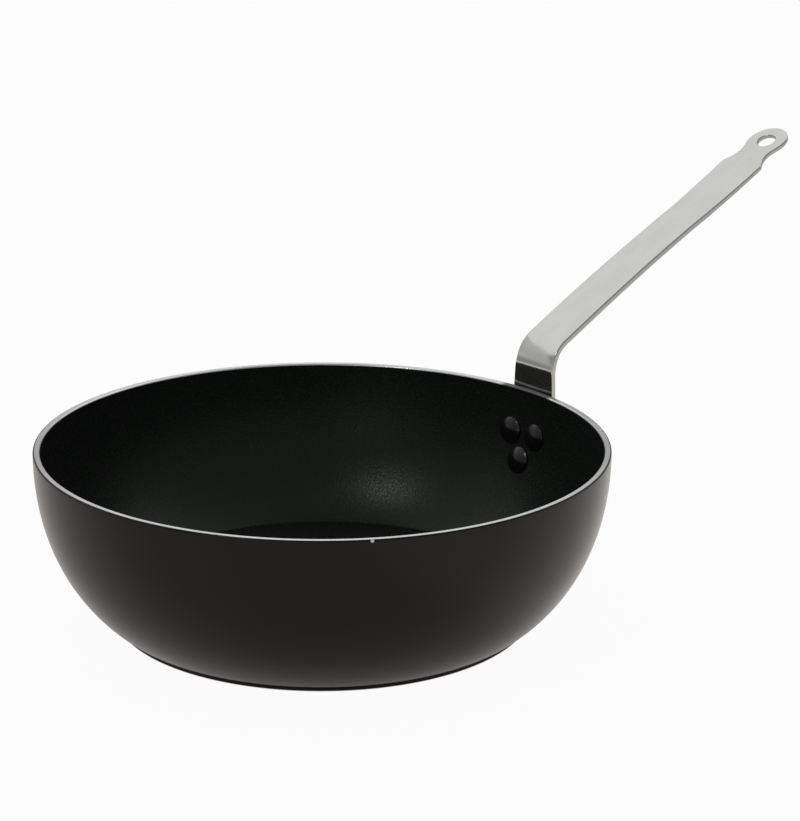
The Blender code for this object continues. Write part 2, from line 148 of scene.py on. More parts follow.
class NodeGraph:
    """A node tree that is written as expressions."""

    def __init__(self, tree: bpy.types.NodeTree) -> None:
        """Start on a tree with no nodes."""
        self.tree = tree
        self.tree.nodes.clear()

    @classmethod
    def of(cls, owner: Union[bpy.types.Material, bpy.types.World]) -> "NodeGraph":
        """Start on the nodes of a material or a world."""
        owner.use_nodes = True
        return cls(owner.node_tree)

    def add(self, kind: str, values: Inputs = None, **settings: Any) -> bpy.types.Node:
        """Add any node.

        Args:
            kind: The node's type.
            values: Numbers or links for its input sockets, by name or place.
            settings: The node's own settings, which are set first.

        Returns:
            The new node.
        """
        node = self.tree.nodes.new(kind)
        for name, setting in settings.items():
            setattr(node, name, setting)
        for name, value in (values or {}).items():
            self.feed(node.inputs[name], value)
        return node

    def feed(self, socket: bpy.types.NodeSocket, value: Any) -> None:
        """Link a signal to a socket, or set the socket's own value.

        Args:
            socket: The input socket.
            value: The signal, number, colour or other value.
        """
        if isinstance(value, Signal):
            self.tree.links.new(value.socket, socket)
        else:
            socket.default_value = value

    def read(self, node: bpy.types.Node, output: Output = 0) -> Signal:
        """One of a node's outputs."""
        return Signal(self, node.outputs[output])

    def value(self, kind: str, values: Inputs = None, output: Output = 0,
              **settings: Any) -> Signal:
        """Add any node and read one of its outputs."""
        return self.read(self.add(kind, values, **settings), output)

    def math(self, operation: str, *values: Value) -> Signal:
        """A Math node on one or two values."""
        return self.value("ShaderNodeMath", dict(enumerate(values)), operation=operation)

    def vector(self, operation: str, *values: Any, output: Output = 0) -> Signal:
        """A Vector Math node on one or two vectors."""
        values = dict(enumerate(values))
        return self.value("ShaderNodeVectorMath", values, output, operation=operation)

    def split(self, vector: Signal) -> Tuple[Signal, Signal, Signal]:
        """The three parts of a vector."""
        node = self.add("ShaderNodeSeparateXYZ", {0: vector})
        return self.read(node, 0), self.read(node, 1), self.read(node, 2)

    def join(self, x: Value, y: Value, z: Value) -> Signal:
        """A vector from its three parts."""
        return self.value("ShaderNodeCombineXYZ", {0: x, 1: y, 2: z})

    def ramp(self, value: Signal, low: float, high: float,
             start: float = 0.0, end: float = 1.0) -> Signal:
        """An easy change from start to end as the value goes from low to high, level past both."""
        values = {"Value": value, "From Min": low, "From Max": high, "To Min": start, "To Max": end}
        return self.value("ShaderNodeMapRange", values, interpolation_type="SMOOTHSTEP")

    def noise(self, vector: Signal, scale: float, detail: float = 2.0,
              roughness: float = 0.5) -> Signal:
        """Soft noise from 0 to 1, with scale humps to the metre."""
        values = {"Vector": vector, "Scale": scale, "Detail": detail, "Roughness": roughness}
        return self.value("ShaderNodeTexNoise", values)

    def blend(self, share: Signal, low: Value, high: Value) -> Signal:
        """A number between two, by share."""
        return self.value("ShaderNodeMix", {0: share, 2: low, 3: high}, 0, data_type="FLOAT")

    def mix(self, share: Signal, low: Union[Colour, Signal], high: Union[Colour, Signal]) -> Signal:
        """A colour between two, by share."""
        low, high = (end if isinstance(end, Signal) else (*end, 1.0) for end in (low, high))
        return self.value("ShaderNodeMix", {0: share, 6: low, 7: high}, 2, data_type="RGBA")

    def bump(self, height: Signal, depth: float) -> Signal:
        """A surface normal from a height of 0 to 1 that stands for depth metres."""
        return self.value("ShaderNodeBump", {"Height": height, "Distance": depth})


@dataclass(frozen=True)
class Finish:
    """A finish: its name, its slot in the record and its plain values."""

    name: str
    slot: Slot
    colour: Colour
    roughness: float
    metallic: float = 0.0
    specular: float = 0.5
    sheen_colour: Colour = (1.0, 1.0, 1.0)

    def make(self) -> bpy.types.Material:
        """Make the finish's material.

        Returns:
            The material, with its nodes.
        """
        material = bpy.data.materials.new(self.name)
        graph = NodeGraph.of(material)
        shader = graph.add("ShaderNodeBsdfPrincipled", {
            "Base Color": (*self.colour, 1.0),
            "Roughness": self.roughness,
            "Metallic": self.metallic,
            "Specular IOR Level": self.specular,
            "Specular Tint": (*self.sheen_colour, 1.0),
        })
        graph.add("ShaderNodeOutputMaterial", {"Surface": graph.read(shader)})
        self.dress(graph, shader)
        return material

    def dress(self, graph: NodeGraph, shader: bpy.types.Node) -> None:
        """Add what varies over the surface."""

    @staticmethod
    def place(graph: NodeGraph) -> Signal:
        """The point on the object, in metres."""
        return graph.value("ShaderNodeTexCoord", output="Object")

    @staticmethod
    def swing(noise: Signal, amount: float) -> Signal:
        """A change of this amount in all, half of it down and half up, that follows the noise."""
        return (noise - 0.5) * amount

    @staticmethod
    def spot(graph: NodeGraph, place: Signal, centre: Point, radius: float,
             core: float = 0.6) -> Signal:
        """A small round mark: 1 in its core, which is a share of its radius, and 0 outside it."""
        away = graph.vector("DISTANCE", place, centre, output="Value")
        return graph.ramp(away, core * radius, radius, 1.0, 0.0)


@dataclass(frozen=True)
class CookingCoat(Finish):
    """The black nonstick coating: a fine sprayed grain with a few paler flecks."""

    grain_scale: float = 1050.0
    grain_depth: float = 0.000130
    grain_range: Limits = (0.32, 0.68)
    grain_gloss: float = 0.28
    fleck_scale: float = 900.0
    fleck_range: Limits = (0.66, 0.80)
    fleck_colour: Colour = (0.030, 0.031, 0.030)
    wear_scale: float = 18.0
    wear_gloss: float = 0.08

    def dress(self, graph: NodeGraph, shader: bpy.types.Node) -> None:
        """Add the grain, the flecks and a slow change of gloss.

        Args:
            graph: The material's nodes.
            shader: The surface shader.
        """
        place = self.place(graph)
        grain = graph.noise(place, self.grain_scale, detail=3.0, roughness=0.6)
        flecks = graph.ramp(graph.noise(place, self.fleck_scale, detail=1.0), *self.fleck_range)
        wear = self.swing(graph.noise(place, self.wear_scale, detail=3.0), self.wear_gloss)
        dull = self.swing(graph.ramp(grain, *self.grain_range), self.grain_gloss)
        graph.feed(shader.inputs["Base Color"], graph.mix(flecks, self.colour, self.fleck_colour))
        graph.feed(shader.inputs["Roughness"], self.roughness + wear + dull)
        graph.feed(shader.inputs["Normal"], graph.bump(grain, self.grain_depth))


@dataclass(frozen=True)
class OutsideCoat(Finish):
    """The satin black finish on the outside: nearly smooth, with a faint sprayed skin."""

    skin_scale: float = 420.0
    skin_depth: float = 0.000004
    cloud_scale: float = 14.0
    cloud_gloss: float = 0.04
    chip_colour: Colour = (0.80, 0.80, 0.78)
    chip_place: Point = (-0.0706, -0.1209, 0.0864)
    chip_radius: float = 0.0010

    def dress(self, graph: NodeGraph, shader: bpy.types.Node) -> None:
        """Add the sprayed skin, its faint change of gloss and one small chip.

        Args:
            graph: The material's nodes.
            shader: The surface shader.
        """
        place = self.place(graph)
        skin = graph.noise(place, self.skin_scale)
        cloud = self.swing(graph.noise(place, self.cloud_scale), self.cloud_gloss)
        chip = self.spot(graph, place, self.chip_place, self.chip_radius)
        graph.feed(shader.inputs["Base Color"], graph.mix(chip, self.colour, self.chip_colour))
        graph.feed(shader.inputs["Roughness"], self.roughness + cloud)
        graph.feed(shader.inputs["Normal"], graph.bump(skin, self.skin_depth))


@dataclass(frozen=True)
class TurnedMetal(Finish):
    """Bare aluminium, cut on a lathe: fine lines that run round the bowl's axis."""

    line_scale: float = 2600.0
    line_depth: float = 0.000007
    line_gloss: float = 0.12
    cloud_scale: float = 60.0
    dull_colour: Colour = (0.645, 0.65, 0.66)
    # Painted reflection: beside the handle the rim turns this dark colour, standing in for the dark
    # tab that it mirrors. The two nicks share the colour.
    painted_reflection_and_nick_colour: Colour = (0.11, 0.112, 0.115)
    painted_reflection_reach: float = 0.0200
    painted_reflection_edge: float = 0.0050
    painted_reflection_start: float = 0.130
    mark_places: Tuple[Point, ...] = ((-0.0964, 0.1010, 0.0869), (0.1178, -0.0750, 0.0869))
    mark_radius: float = 0.0009

    def dress(self, graph: NodeGraph, shader: bpy.types.Node) -> None:
        """Add the lathe's lines, a faint change of brightness, two nicks, and a painted dark
        reflection of the handle's tab on the rim beside it.

        Args:
            graph: The material's nodes.
            shader: The surface shader.
        """
        place = self.place(graph)
        x, y, z = graph.split(place)
        radius = graph.math("SQRT", x * x + y * y)
        rings = graph.join(radius * self.line_scale, z * self.line_scale, x + y)
        lines = graph.noise(rings, 1.0, detail=3.0, roughness=0.65)
        cloud = graph.noise(place, self.cloud_scale)
        aside = graph.math("ABSOLUTE", y)
        # Painted reflection: a dark band on the rim, as wide as the handle's tab and past the start
        # in X, in place of the tab's dark mirror image. The nicks join the same mask.
        near = graph.ramp(aside, self.painted_reflection_reach - self.painted_reflection_edge, self.painted_reflection_reach, 1.0, 0.0)
        painted_reflection_and_nicks = near * (x > self.painted_reflection_start)
        for centre in self.mark_places:
            painted_reflection_and_nicks = painted_reflection_and_nicks + self.spot(graph, place, centre, self.mark_radius)
        unmarked_colour = graph.mix(cloud, self.dull_colour, self.colour)
        graph.feed(shader.inputs["Base Color"], graph.mix(painted_reflection_and_nicks, unmarked_colour, self.painted_reflection_and_nick_colour))
        graph.feed(shader.inputs["Roughness"], self.roughness + self.swing(lines, self.line_gloss))
        graph.feed(shader.inputs["Normal"], graph.bump(lines, self.line_depth))


@dataclass(frozen=True)
class PolishedStrip(Finish):
    """Polished steel strip, with faint lines along its length from the polishing belt."""

    line_scale: float = 1500.0
    line_length: float = 0.012
    line_depth: float = 0.0000012
    line_gloss: float = 0.04
    cloud_scale: float = 45.0
    cloud_gloss: float = 0.02
    patch_scale: float = 38.0
    patch_squeeze: float = 2.5
    patch_range: Limits = (0.35, 0.65)
    patch_colour: Colour = (0.595, 0.590, 0.582)
    # On the cut side, the tab's colour is a painted reflection: paler than the arm, as if it mirrored
    # the bright floor.
    tab_painted_reflection_colour: Colour = (0.595, 0.590, 0.582)
    tab_top: float = 0.0
    tab_edge: float = 0.003

    def dress(self, graph: NodeGraph, shader: bpy.types.Node) -> None:
        """Add the belt's lines and patches, which follow the strip, and a colour for the tab, which
        on the cut side is a painted reflection of the bright floor.

        Args:
            graph: The material's nodes.
            shader: The surface shader.
        """
        place = self.place(graph)
        along, across, _ = graph.split(graph.value("ShaderNodeUVMap", uv_map=STRIP_MAP))
        stretched = graph.join(along / self.line_length, across * self.line_scale, 0.0)
        lines = graph.noise(stretched, 1.0, detail=3.0, roughness=0.6)
        cloud = graph.noise(place, self.cloud_scale)
        patches = graph.noise(graph.join(along, across * self.patch_squeeze, 0.0), self.patch_scale)
        tint = graph.ramp(patches, *self.patch_range)
        arm = graph.mix(tint, self.colour, self.patch_colour)
        _, _, height = graph.split(place)
        # Painted reflection: below tab_top the colour turns to the tab's, which is paler on the cut
        # side.
        past_tab = graph.ramp(height, self.tab_top - self.tab_edge, self.tab_top + self.tab_edge)
        gloss = self.swing(lines, self.line_gloss) + self.swing(cloud, self.cloud_gloss)
        graph.feed(shader.inputs["Base Color"], graph.mix(past_tab, self.tab_painted_reflection_colour, arm))
        graph.feed(shader.inputs["Roughness"], self.roughness + gloss)
        graph.feed(shader.inputs["Normal"], graph.bump(lines, self.line_depth))


@dataclass(frozen=True)
class RivetCoat(Finish):
    """The rivets' black finish: the same colour as the coating, but smoother."""

    skin_scale: float = 900.0
    skin_depth: float = 0.000006

    def dress(self, graph: NodeGraph, shader: bpy.types.Node) -> None:
        """Add a faint uneven skin."""
        skin = graph.noise(self.place(graph), self.skin_scale)
        graph.feed(shader.inputs["Normal"], graph.bump(skin, self.skin_depth))


def add_object(name: str, data: Optional[bpy.types.ID]) -> bpy.types.Object:
    """Put a new object in the scene.

    Args:
        name: Its name.
        data: Its mesh, lamp or camera.

    Returns:
        The object, at the origin.
    """
    item = bpy.data.objects.new(name, data)
    bpy.context.scene.collection.objects.link(item)
    return item


class GeometryTree:
    """A Geometry Nodes tree with named inputs."""

    def __init__(self, name: str, inputs: Dict[str, str]) -> None:
        """Make the tree and its sockets.

        Args:
            name: The tree's name.
            inputs: Its inputs after the geometry, as names with their kinds, such as Int.
        """
        self.tree = bpy.data.node_groups.new(name, "GeometryNodeTree")
        self.graph = NodeGraph(self.tree)
        self.socket("Geometry", "Geometry", "OUTPUT")
        self.socket("Geometry", "Geometry")
        self.sockets = {title: self.socket(title, kind) for title, kind in inputs.items()}
        self.source = self.graph.add("NodeGroupInput")

    def socket(self, name: str, kind: str, side: str = "INPUT") -> str:
        """Add one of the tree's own sockets, and give its identifier."""
        kind = "NodeSocket" + kind
        return self.tree.interface.new_socket(name=name, in_out=side, socket_type=kind).identifier

    def input(self, name: str) -> Signal:
        """The value of one of the tree's inputs."""
        return self.graph.read(self.source, name)

    def finish_with(self, geometry: Signal) -> None:
        """Make this geometry the tree's result."""
        self.graph.add("NodeGroupOutput", {"Geometry": geometry})

    def run(self, item: bpy.types.Object, values: Dict[str, Any]) -> None:
        """Replace an object's mesh by what the tree makes of it, and leave no modifier.

        Args:
            item: The object, in the scene.
            values: The tree's inputs by name.
        """
        modifier = item.modifiers.new(self.tree.name, "NODES")
        modifier.node_group = self.tree
        for name, value in values.items():
            modifier[self.sockets[name]] = value
        bpy.context.view_layer.update()
        depsgraph = bpy.context.evaluated_depsgraph_get()
        mesh = bpy.data.meshes.new_from_object(item.evaluated_get(depsgraph))
        item.modifiers.clear()
        item.data = mesh


def turned_surface(graph: NodeGraph, line: Signal, segments: Signal) -> Signal:
    """Sweep a section line round the Z axis.

    Args:
        graph: The tree's nodes.
        line: The section line, whose points hold the radius as X and the height as Z.
        segments: How many parts the turn is divided into.

    Returns:
        The turned surface, with its seam and poles closed.
    """
    count = graph.value("GeometryNodeAttributeDomainSize", {"Geometry": line}, "Point Count")
    sizes = {"Size X": 1.0, "Size Y": 1.0, "Vertices X": segments + 1, "Vertices Y": count}
    grid = graph.value("GeometryNodeMeshGrid", sizes, "Mesh")
    place = graph.value("GeometryNodeInputPosition")
    round_share, along_share, _ = graph.split(place)
    number = graph.math("ROUND", (along_share + 0.5) * (count - 1))
    values = {"Geometry": line, "Value": place, "Index": number}
    point = graph.value("GeometryNodeSampleIndex", values, data_type="FLOAT_VECTOR", domain="POINT")
    radius, _, height = graph.split(point)
    angle = (round_share + 0.5) * (2 * math.pi)
    x, y = (radius * graph.math(operation, angle) for operation in ("COSINE", "SINE"))
    values = {"Geometry": grid, "Position": graph.join(x, y, height)}
    swept = graph.value("GeometryNodeSetPosition", values)
    return graph.value("GeometryNodeMergeByDistance", {"Geometry": swept, "Distance": WELD})


def dressed(graph: NodeGraph, geometry: Signal, finish: Signal) -> Signal:
    """Make geometry real, shade it smooth and give it a finish.

    Args:
        graph: The tree's nodes.
        geometry: The geometry.
        finish: The material.

    Returns:
        The dressed geometry.
    """
    real = graph.value("GeometryNodeRealizeInstances", {"Geometry": geometry})
    even = graph.value("GeometryNodeSetShadeSmooth", {"Geometry": real})
    return graph.value("GeometryNodeSetMaterial", {"Geometry": even, "Material": finish})


class Lathe:
    """Turns section lines into pieces."""

    def __init__(self) -> None:
        """Build the tree."""
        self.made = GeometryTree("turning", {"Segments": "Int", "Finish": "Material"})
        line, segments, finish = map(self.made.input, ("Geometry", "Segments", "Finish"))
        surface = turned_surface(self.made.graph, line, segments)
        self.made.finish_with(dressed(self.made.graph, surface, finish))

    def turn(self, name: str, line: Sequence[Vector], segments: int,
             finish: bpy.types.Material) -> bpy.types.Object:
        """Turn one piece.

        Args:
            name: The piece's name.
            line: Its section as (radius, height) points, from the axis to the axis or closed.
            segments: How many parts the turn is divided into.
            finish: Its material.

        Returns:
            The piece.
        """
        piece = section_object(name, line)
        self.made.run(piece, {"Segments": segments, "Finish": finish})
        return outwards(piece)


def section_object(name: str, line: Sequence[Vector]) -> bpy.types.Object:
    """Put a section line in the scene.

    Args:
        name: The object's name.
        line: The section as (radius, height) points.

    Returns:
        The object, whose mesh is the line.
    """
    mesh = bpy.data.meshes.new(name)
    edges = [(i, i + 1) for i in range(len(line) - 1)]
    mesh.from_pydata([(point.x, 0.0, point.y) for point in line], edges, [])
    return add_object(name, mesh)


def outwards(piece: bpy.types.Object) -> bpy.types.Object:
    """Point a closed piece's faces outwards and keep its real edges sharp.

    Args:
        piece: The piece.

    Returns:
        The same piece.
    """
    work = bmesh.new()
    work.from_mesh(piece.data)
    bmesh.ops.recalc_face_normals(work, faces=work.faces)
    work.to_mesh(piece.data)
    work.free()
    piece.data.shade_smooth()
    piece.data.set_sharp_from_angle(angle=SHARP_ANGLE)
    return piece


def solve(function: Callable[[float], float], low: float, high: float) -> float:
    """Find where a function changes sign, by halving.

    Args:
        function: The function.
        low: One side of the change.
        high: The other side.

    Returns:
        The place of the change.
    """
    sign = function(low) > 0
    for _ in range(HALVINGS):
        middle = (low + high) / 2
        if (function(middle) > 0) == sign:
            low = middle
        else:
            high = middle
    return (low + high) / 2


def read_table(pairs: Sequence[Tuple[float, float]], value: float) -> float:
    """Read a table, straight between its entries and level past its end.

    Args:
        pairs: The entries, with the first number of each rising.
        value: The first number at which it is read.

    Returns:
        The second number there.
    """
    for (a, start), (b, end) in zip(pairs, pairs[1:]):
        if value <= b:
            return start + (end - start) * (value - a) / (b - a)
    return pairs[-1][1]


def arc(centre: Vector, radius: float, start: float, end: float, steps: int) -> List[Vector]:
    """Points on an arc, both ends included, with angles in radians from the outward axis."""
    angles = [start + (end - start) * i / steps for i in range(steps + 1)]
    return [centre + radius * Vector((math.cos(a), math.sin(a))) for a in angles]


def curve_point(guides: Guides, t: float) -> Vector:
    """Find a point of a smooth curve.

    Args:
        guides: The curve's two ends, with its two guide points between them.
        t: The place on it, from 0 to 1.

    Returns:
        The point.
    """
    a, b, c, d = guides
    u = 1 - t
    return u * u * u * a + 3 * u * u * t * b + 3 * u * t * t * c + t * t * t * d


def curve_way(guides: Guides, t: float) -> Vector:
    """Find the direction of a smooth curve.

    Args:
        guides: The curve's two ends, with its two guide points between them.
        t: The place on it, from 0 to 1.

    Returns:
        How the point moves as t grows.
    """
    a, b, c, d = guides
    u = 1 - t
    return 3 * (u * u * (b - a) + 2 * u * t * (c - b) + t * t * (d - c))


@dataclass(frozen=True)
class BowlSection:
    """The bowl in section: where its surfaces run, as points of radius and height."""

    rim_radius: float
    height: float
    base_radius: float = 0.1027
    foot_height: float = 0.0016
    rim_angle: float = math.radians(0.9)
    rim_reach: float = 0.0520
    foot_angle: float = math.radians(34.0)
    foot_reach: float = 0.0152
    thickness: float = 0.0035
    floor_height: float = 0.0075
    floor_fillet: float = 0.0060
    floor_rings: Tuple[float, ...] = (0.0, 0.3, 0.6, 0.85, 0.96, 0.995)
    wall_steps: int = 64
    fillet_steps: int = 10
    small_step: float = 0.001

    def guides(self) -> Guides:
        """Find the guide points of the wall's outer curve.

        Returns:
            The four points, from the rim to the foot.
        """
        rim = Vector((self.rim_radius, self.height))
        foot = Vector((self.base_radius, self.foot_height))
        down = Vector((math.sin(self.rim_angle), -math.cos(self.rim_angle)))
        up = Vector((math.cos(self.foot_angle), math.sin(self.foot_angle)))
        return rim, rim + self.rim_reach * down, foot + self.foot_reach * up, foot

    def direction(self, t: float) -> Vector:
        """The direction down the wall at t, which is 0 at the rim and 1 at the foot."""
        return curve_way(self.guides(), t)

    def normal(self, t: float) -> Vector:
        """The wall's outward direction at t."""
        down = self.direction(t).normalized()
        return Vector((-down.y, down.x))

    def wall(self, t: float, inset: float = 0.0) -> Vector:
        """A point of the wall at t, moved into the metal by inset."""
        return curve_point(self.guides(), t) - inset * self.normal(t)

    def outer(self, t: float, inset: float) -> Vector:
        """A point of the wall's outer side that stands no further out than the rim."""
        point = self.wall(t, inset)
        return Vector((min(point.x, self.rim_radius - inset), point.y))

    def curve_radius(self, t: float) -> float:
        """Measure the radius of the wall's curve in section.

        Args:
            t: The place on the wall.

        Returns:
            The radius there.
        """
        before, after = t - self.small_step, t + self.small_step
        turn = self.direction(before).angle(self.direction(after))
        return (self.wall(after) - self.wall(before)).length / turn

    def foot_corner(self, inset: float) -> Vector:
        """Where the wall meets the foot's upright side."""
        rise = inset * (1 - math.sin(self.foot_angle)) / math.cos(self.foot_angle)
        return Vector((self.base_radius - inset, self.foot_height + rise))

    def outside(self, inset: float, drop: float, bottom: float) -> List[Vector]:
        """Draw the outside line, from the rim down the wall and the foot.

        Args:
            inset: How far the line lies inside the outer surface.
            drop: How far below the rim's top face it starts.
            bottom: The height at which it ends.

        Returns:
            The line's points.
        """
        top = Vector((self.rim_radius - inset, self.height - drop))
        wall = [self.outer(i / self.wall_steps, inset) for i in range(1, self.wall_steps)]
        return [top] + wall + [self.foot_corner(inset), Vector((self.base_radius - inset, bottom))]

    def inside(self, depth: float, drop: float) -> List[Vector]:
        """Draw the inside line, from the floor's centre out and up to the rim.

        Args:
            depth: How far the line lies below the cooking surface.
            drop: How far below the rim's top face it ends.

        Returns:
            The line's points.
        """
        inset = self.thickness - depth
        radius = self.floor_fillet + depth
        level = self.floor_height + self.floor_fillet
        end = solve(lambda t: self.wall(t, self.thickness + self.floor_fillet).y - level, 0, 1)
        centre = self.wall(end, inset + radius)
        out = self.normal(end)
        fillet = arc(centre, radius, -math.pi / 2, math.atan2(out.y, out.x), self.fillet_steps)
        bottom = self.floor_height - depth
        floor = [Vector((centre.x * share, bottom)) for share in self.floor_rings]
        shares = [1 - i / self.wall_steps for i in range(1, self.wall_steps)]
        wall = [self.wall(end * share, inset) for share in shares]
        top = Vector((self.rim_radius - inset, self.height - drop))
        return floor + fillet + wall + [top]


@dataclass
class Bowl:
    """The aluminium bowl with its two finishes: three turned pieces."""

    section: BowlSection
    lathe: Lathe
    skin: float = 0.00006
    rim_edge: float = 0.0008
    rim_corner: float = 0.0007
    rim_bare: float = 0.0009
    rim_ridges: int = 4
    ridge_steps: int = 6
    ridge_depth: float = 0.00005
    foot_bare: float = 0.0004
    foot_edge: float = 0.0003
    edge_steps: int = 5
    segments: int = 256
    groove_radii: Tuple[float, ...] = (0.030, 0.052, 0.074, 0.095)
    groove_width: float = 0.0016
    groove_depth: float = 0.0003
    groove_lead: float = 1.2
    groove_floor: float = 0.5

    def rim_line(self) -> List[Vector]:
        """Draw the rim in section, from its inner edge over the top to its outer edge.

        Returns:
            The line's points, with both edges rounded and the lathe's low ridges between them.
        """
        top = self.section.height
        inner = self.section.rim_radius - self.section.thickness + self.skin + self.rim_edge
        outer = self.section.rim_radius - self.rim_corner - self.skin / 2
        centre = Vector((inner, top - self.rim_edge))
        rise = arc(centre, self.rim_edge, math.pi, math.pi / 2, self.edge_steps)
        count = self.rim_ridges * self.ridge_steps
        ridges = []
        for i in range(1, count + 1):
            drop = self.ridge_depth * (1 - math.cos(2 * math.pi * i / self.ridge_steps)) / 2
            ridges.append(Vector((inner + (outer - inner) * i / count, top - drop)))
        return rise + ridges + self.corner(self.skin)

    def corner(self, inset: float) -> List[Vector]:
        """Draw the rim's outer corner.

        Args:
            inset: How far it lies inside the outer finish.

        Returns:
            The points of its arc, from the top out and down.
        """
        reach = self.rim_corner
        centre = Vector((self.section.rim_radius - reach, self.section.height - reach))
        return arc(centre, reach - inset, math.pi / 2, 0.0, self.edge_steps)

    def base_line(self) -> List[Vector]:
        """Draw the underside in section, from its outer edge in to the axis.

        Returns:
            The line's points, with the shallow turned grooves.
        """
        centre = Vector((self.section.base_radius - self.skin - self.foot_edge, self.foot_edge))
        line = arc(centre, self.foot_edge, 0.0, -math.pi / 2, self.edge_steps)
        half = self.groove_width / 2
        sides = [(half * self.groove_lead, 0.0), (half, 0.0),
                 (half * self.groove_floor, self.groove_depth)]
        for radius in reversed(self.groove_radii):
            line += [Vector((radius + out, rise)) for out, rise in sides]
            line += [Vector((radius - out, rise)) for out, rise in reversed(sides)]
        return line + [Vector((0.0, 0.0))]

    def metal(self, finish: Finish) -> bpy.types.Object:
        """Turn the bare bowl, of which the rim and the underside show.

        Args:
            finish: Its finish.

        Returns:
            The piece.
        """
        inside = self.section.inside(self.skin, self.rim_edge)[:-1]
        outside = self.section.outside(self.skin, self.rim_corner, self.foot_edge)[1:-1]
        line = inside + self.rim_line() + outside + self.base_line()
        return self.lathe.turn("bowl_metal", line, self.segments, finish.make())

    def cooking_surface(self, finish: Finish) -> bpy.types.Object:
        """Turn the coating over the whole inside.

        Args:
            finish: Its finish.

        Returns:
            The piece.
        """
        front, back = (self.section.inside(depth, self.rim_bare) for depth in (0.0, self.skin / 2))
        return self.lathe.turn("cooking_surface", front + back[::-1], self.segments, finish.make())

    def outside_surface(self, finish: Finish) -> bpy.types.Object:
        """Turn the finish on the outside, from round the rim's corner to just above the table.

        Args:
            finish: Its finish.

        Returns:
            The piece.
        """
        drop, bottom = self.rim_corner, self.foot_bare
        front, back = (self.corner(inset) + self.section.outside(inset, drop, bottom)[1:]
                       for inset in (0.0, self.skin / 2))
        line = front + back[::-1] + front[:1]
        return self.lathe.turn("outside_surface", line, self.segments, finish.make())


def smooth(share: float) -> float:
    """An easy rise from 0 to 1 as share goes from 0 to 1, and level beyond both."""
    share = min(max(share, 0.0), 1.0)
    return share * share * (3 - 2 * share)


def bent(point: Vector, slope: float, turn: float, length: float) -> Vector:
    """Follow an even bend in side view to its far end.

    Args:
        point: Where the bend starts.
        slope: The slope there.
        turn: How much slope the bend adds.
        length: Its length.

    Returns:
        The far end.
    """
    if turn == 0:
        return point + length * Vector((math.cos(slope), math.sin(slope)))
    after = slope + turn
    across = Vector((math.sin(after) - math.sin(slope), math.cos(slope) - math.cos(after)))
    return point + length / turn * across


@dataclass(frozen=True)
class StripSize:
    """The handle's sizes. The last four place the curl of the edges, as shares of the bend."""

    thickness: float = 0.0030
    edge: float = 0.0006
    fit_gap: float = 0.0003
    tab_standoff: float = 0.0006
    tab_height: float = 0.0086
    bend_radius: float = 0.0191
    arm_rise: float = math.radians(28.8)
    arm_droop: float = math.radians(3.7)
    arm_length: float = 0.1840
    end_length: float = 0.0590
    end_thickness: float = 0.0024
    end_step: float = 0.0003
    end_ramp: float = 0.0170
    end_lift: float = math.radians(2.6)
    foot_margin: float = 0.0090
    foot_taper: float = 0.0114
    tab_width: float = 0.0291
    arm_width: float = 0.0262
    waist_width: float = 0.0253
    end_width: float = 0.0270
    shoulder_angle: float = math.radians(33.0)
    shoulder_reach: float = 0.0040
    shoulder_taper: float = 0.0108
    neck_width: float = 0.0195
    neck_to_eye: float = 0.0112
    eye_diameter: float = 0.0240
    hole_diameter: float = 0.0104
    taper_reach: float = 0.45
    edge_curl: float = 0.00048
    curl_reach: float = 0.0036
    curl_start: float = 0.26
    curl_rise: float = 0.30
    curl_end: float = 1.15
    curl_fall: float = 0.50


@dataclass(frozen=True)
class RivetSize:
    """The rivets' sizes and places."""

    drop: float = 0.0238
    spread: float = 0.0184
    pitch: float = 0.0147
    shank: float = 0.0060
    head: float = 0.0140
    head_height: float = 0.0030
    head_edge: float = 0.0006
    tail: float = 0.0100
    tail_height: float = 0.0018
    tail_edge: float = 0.0003
    seating: float = 0.0001


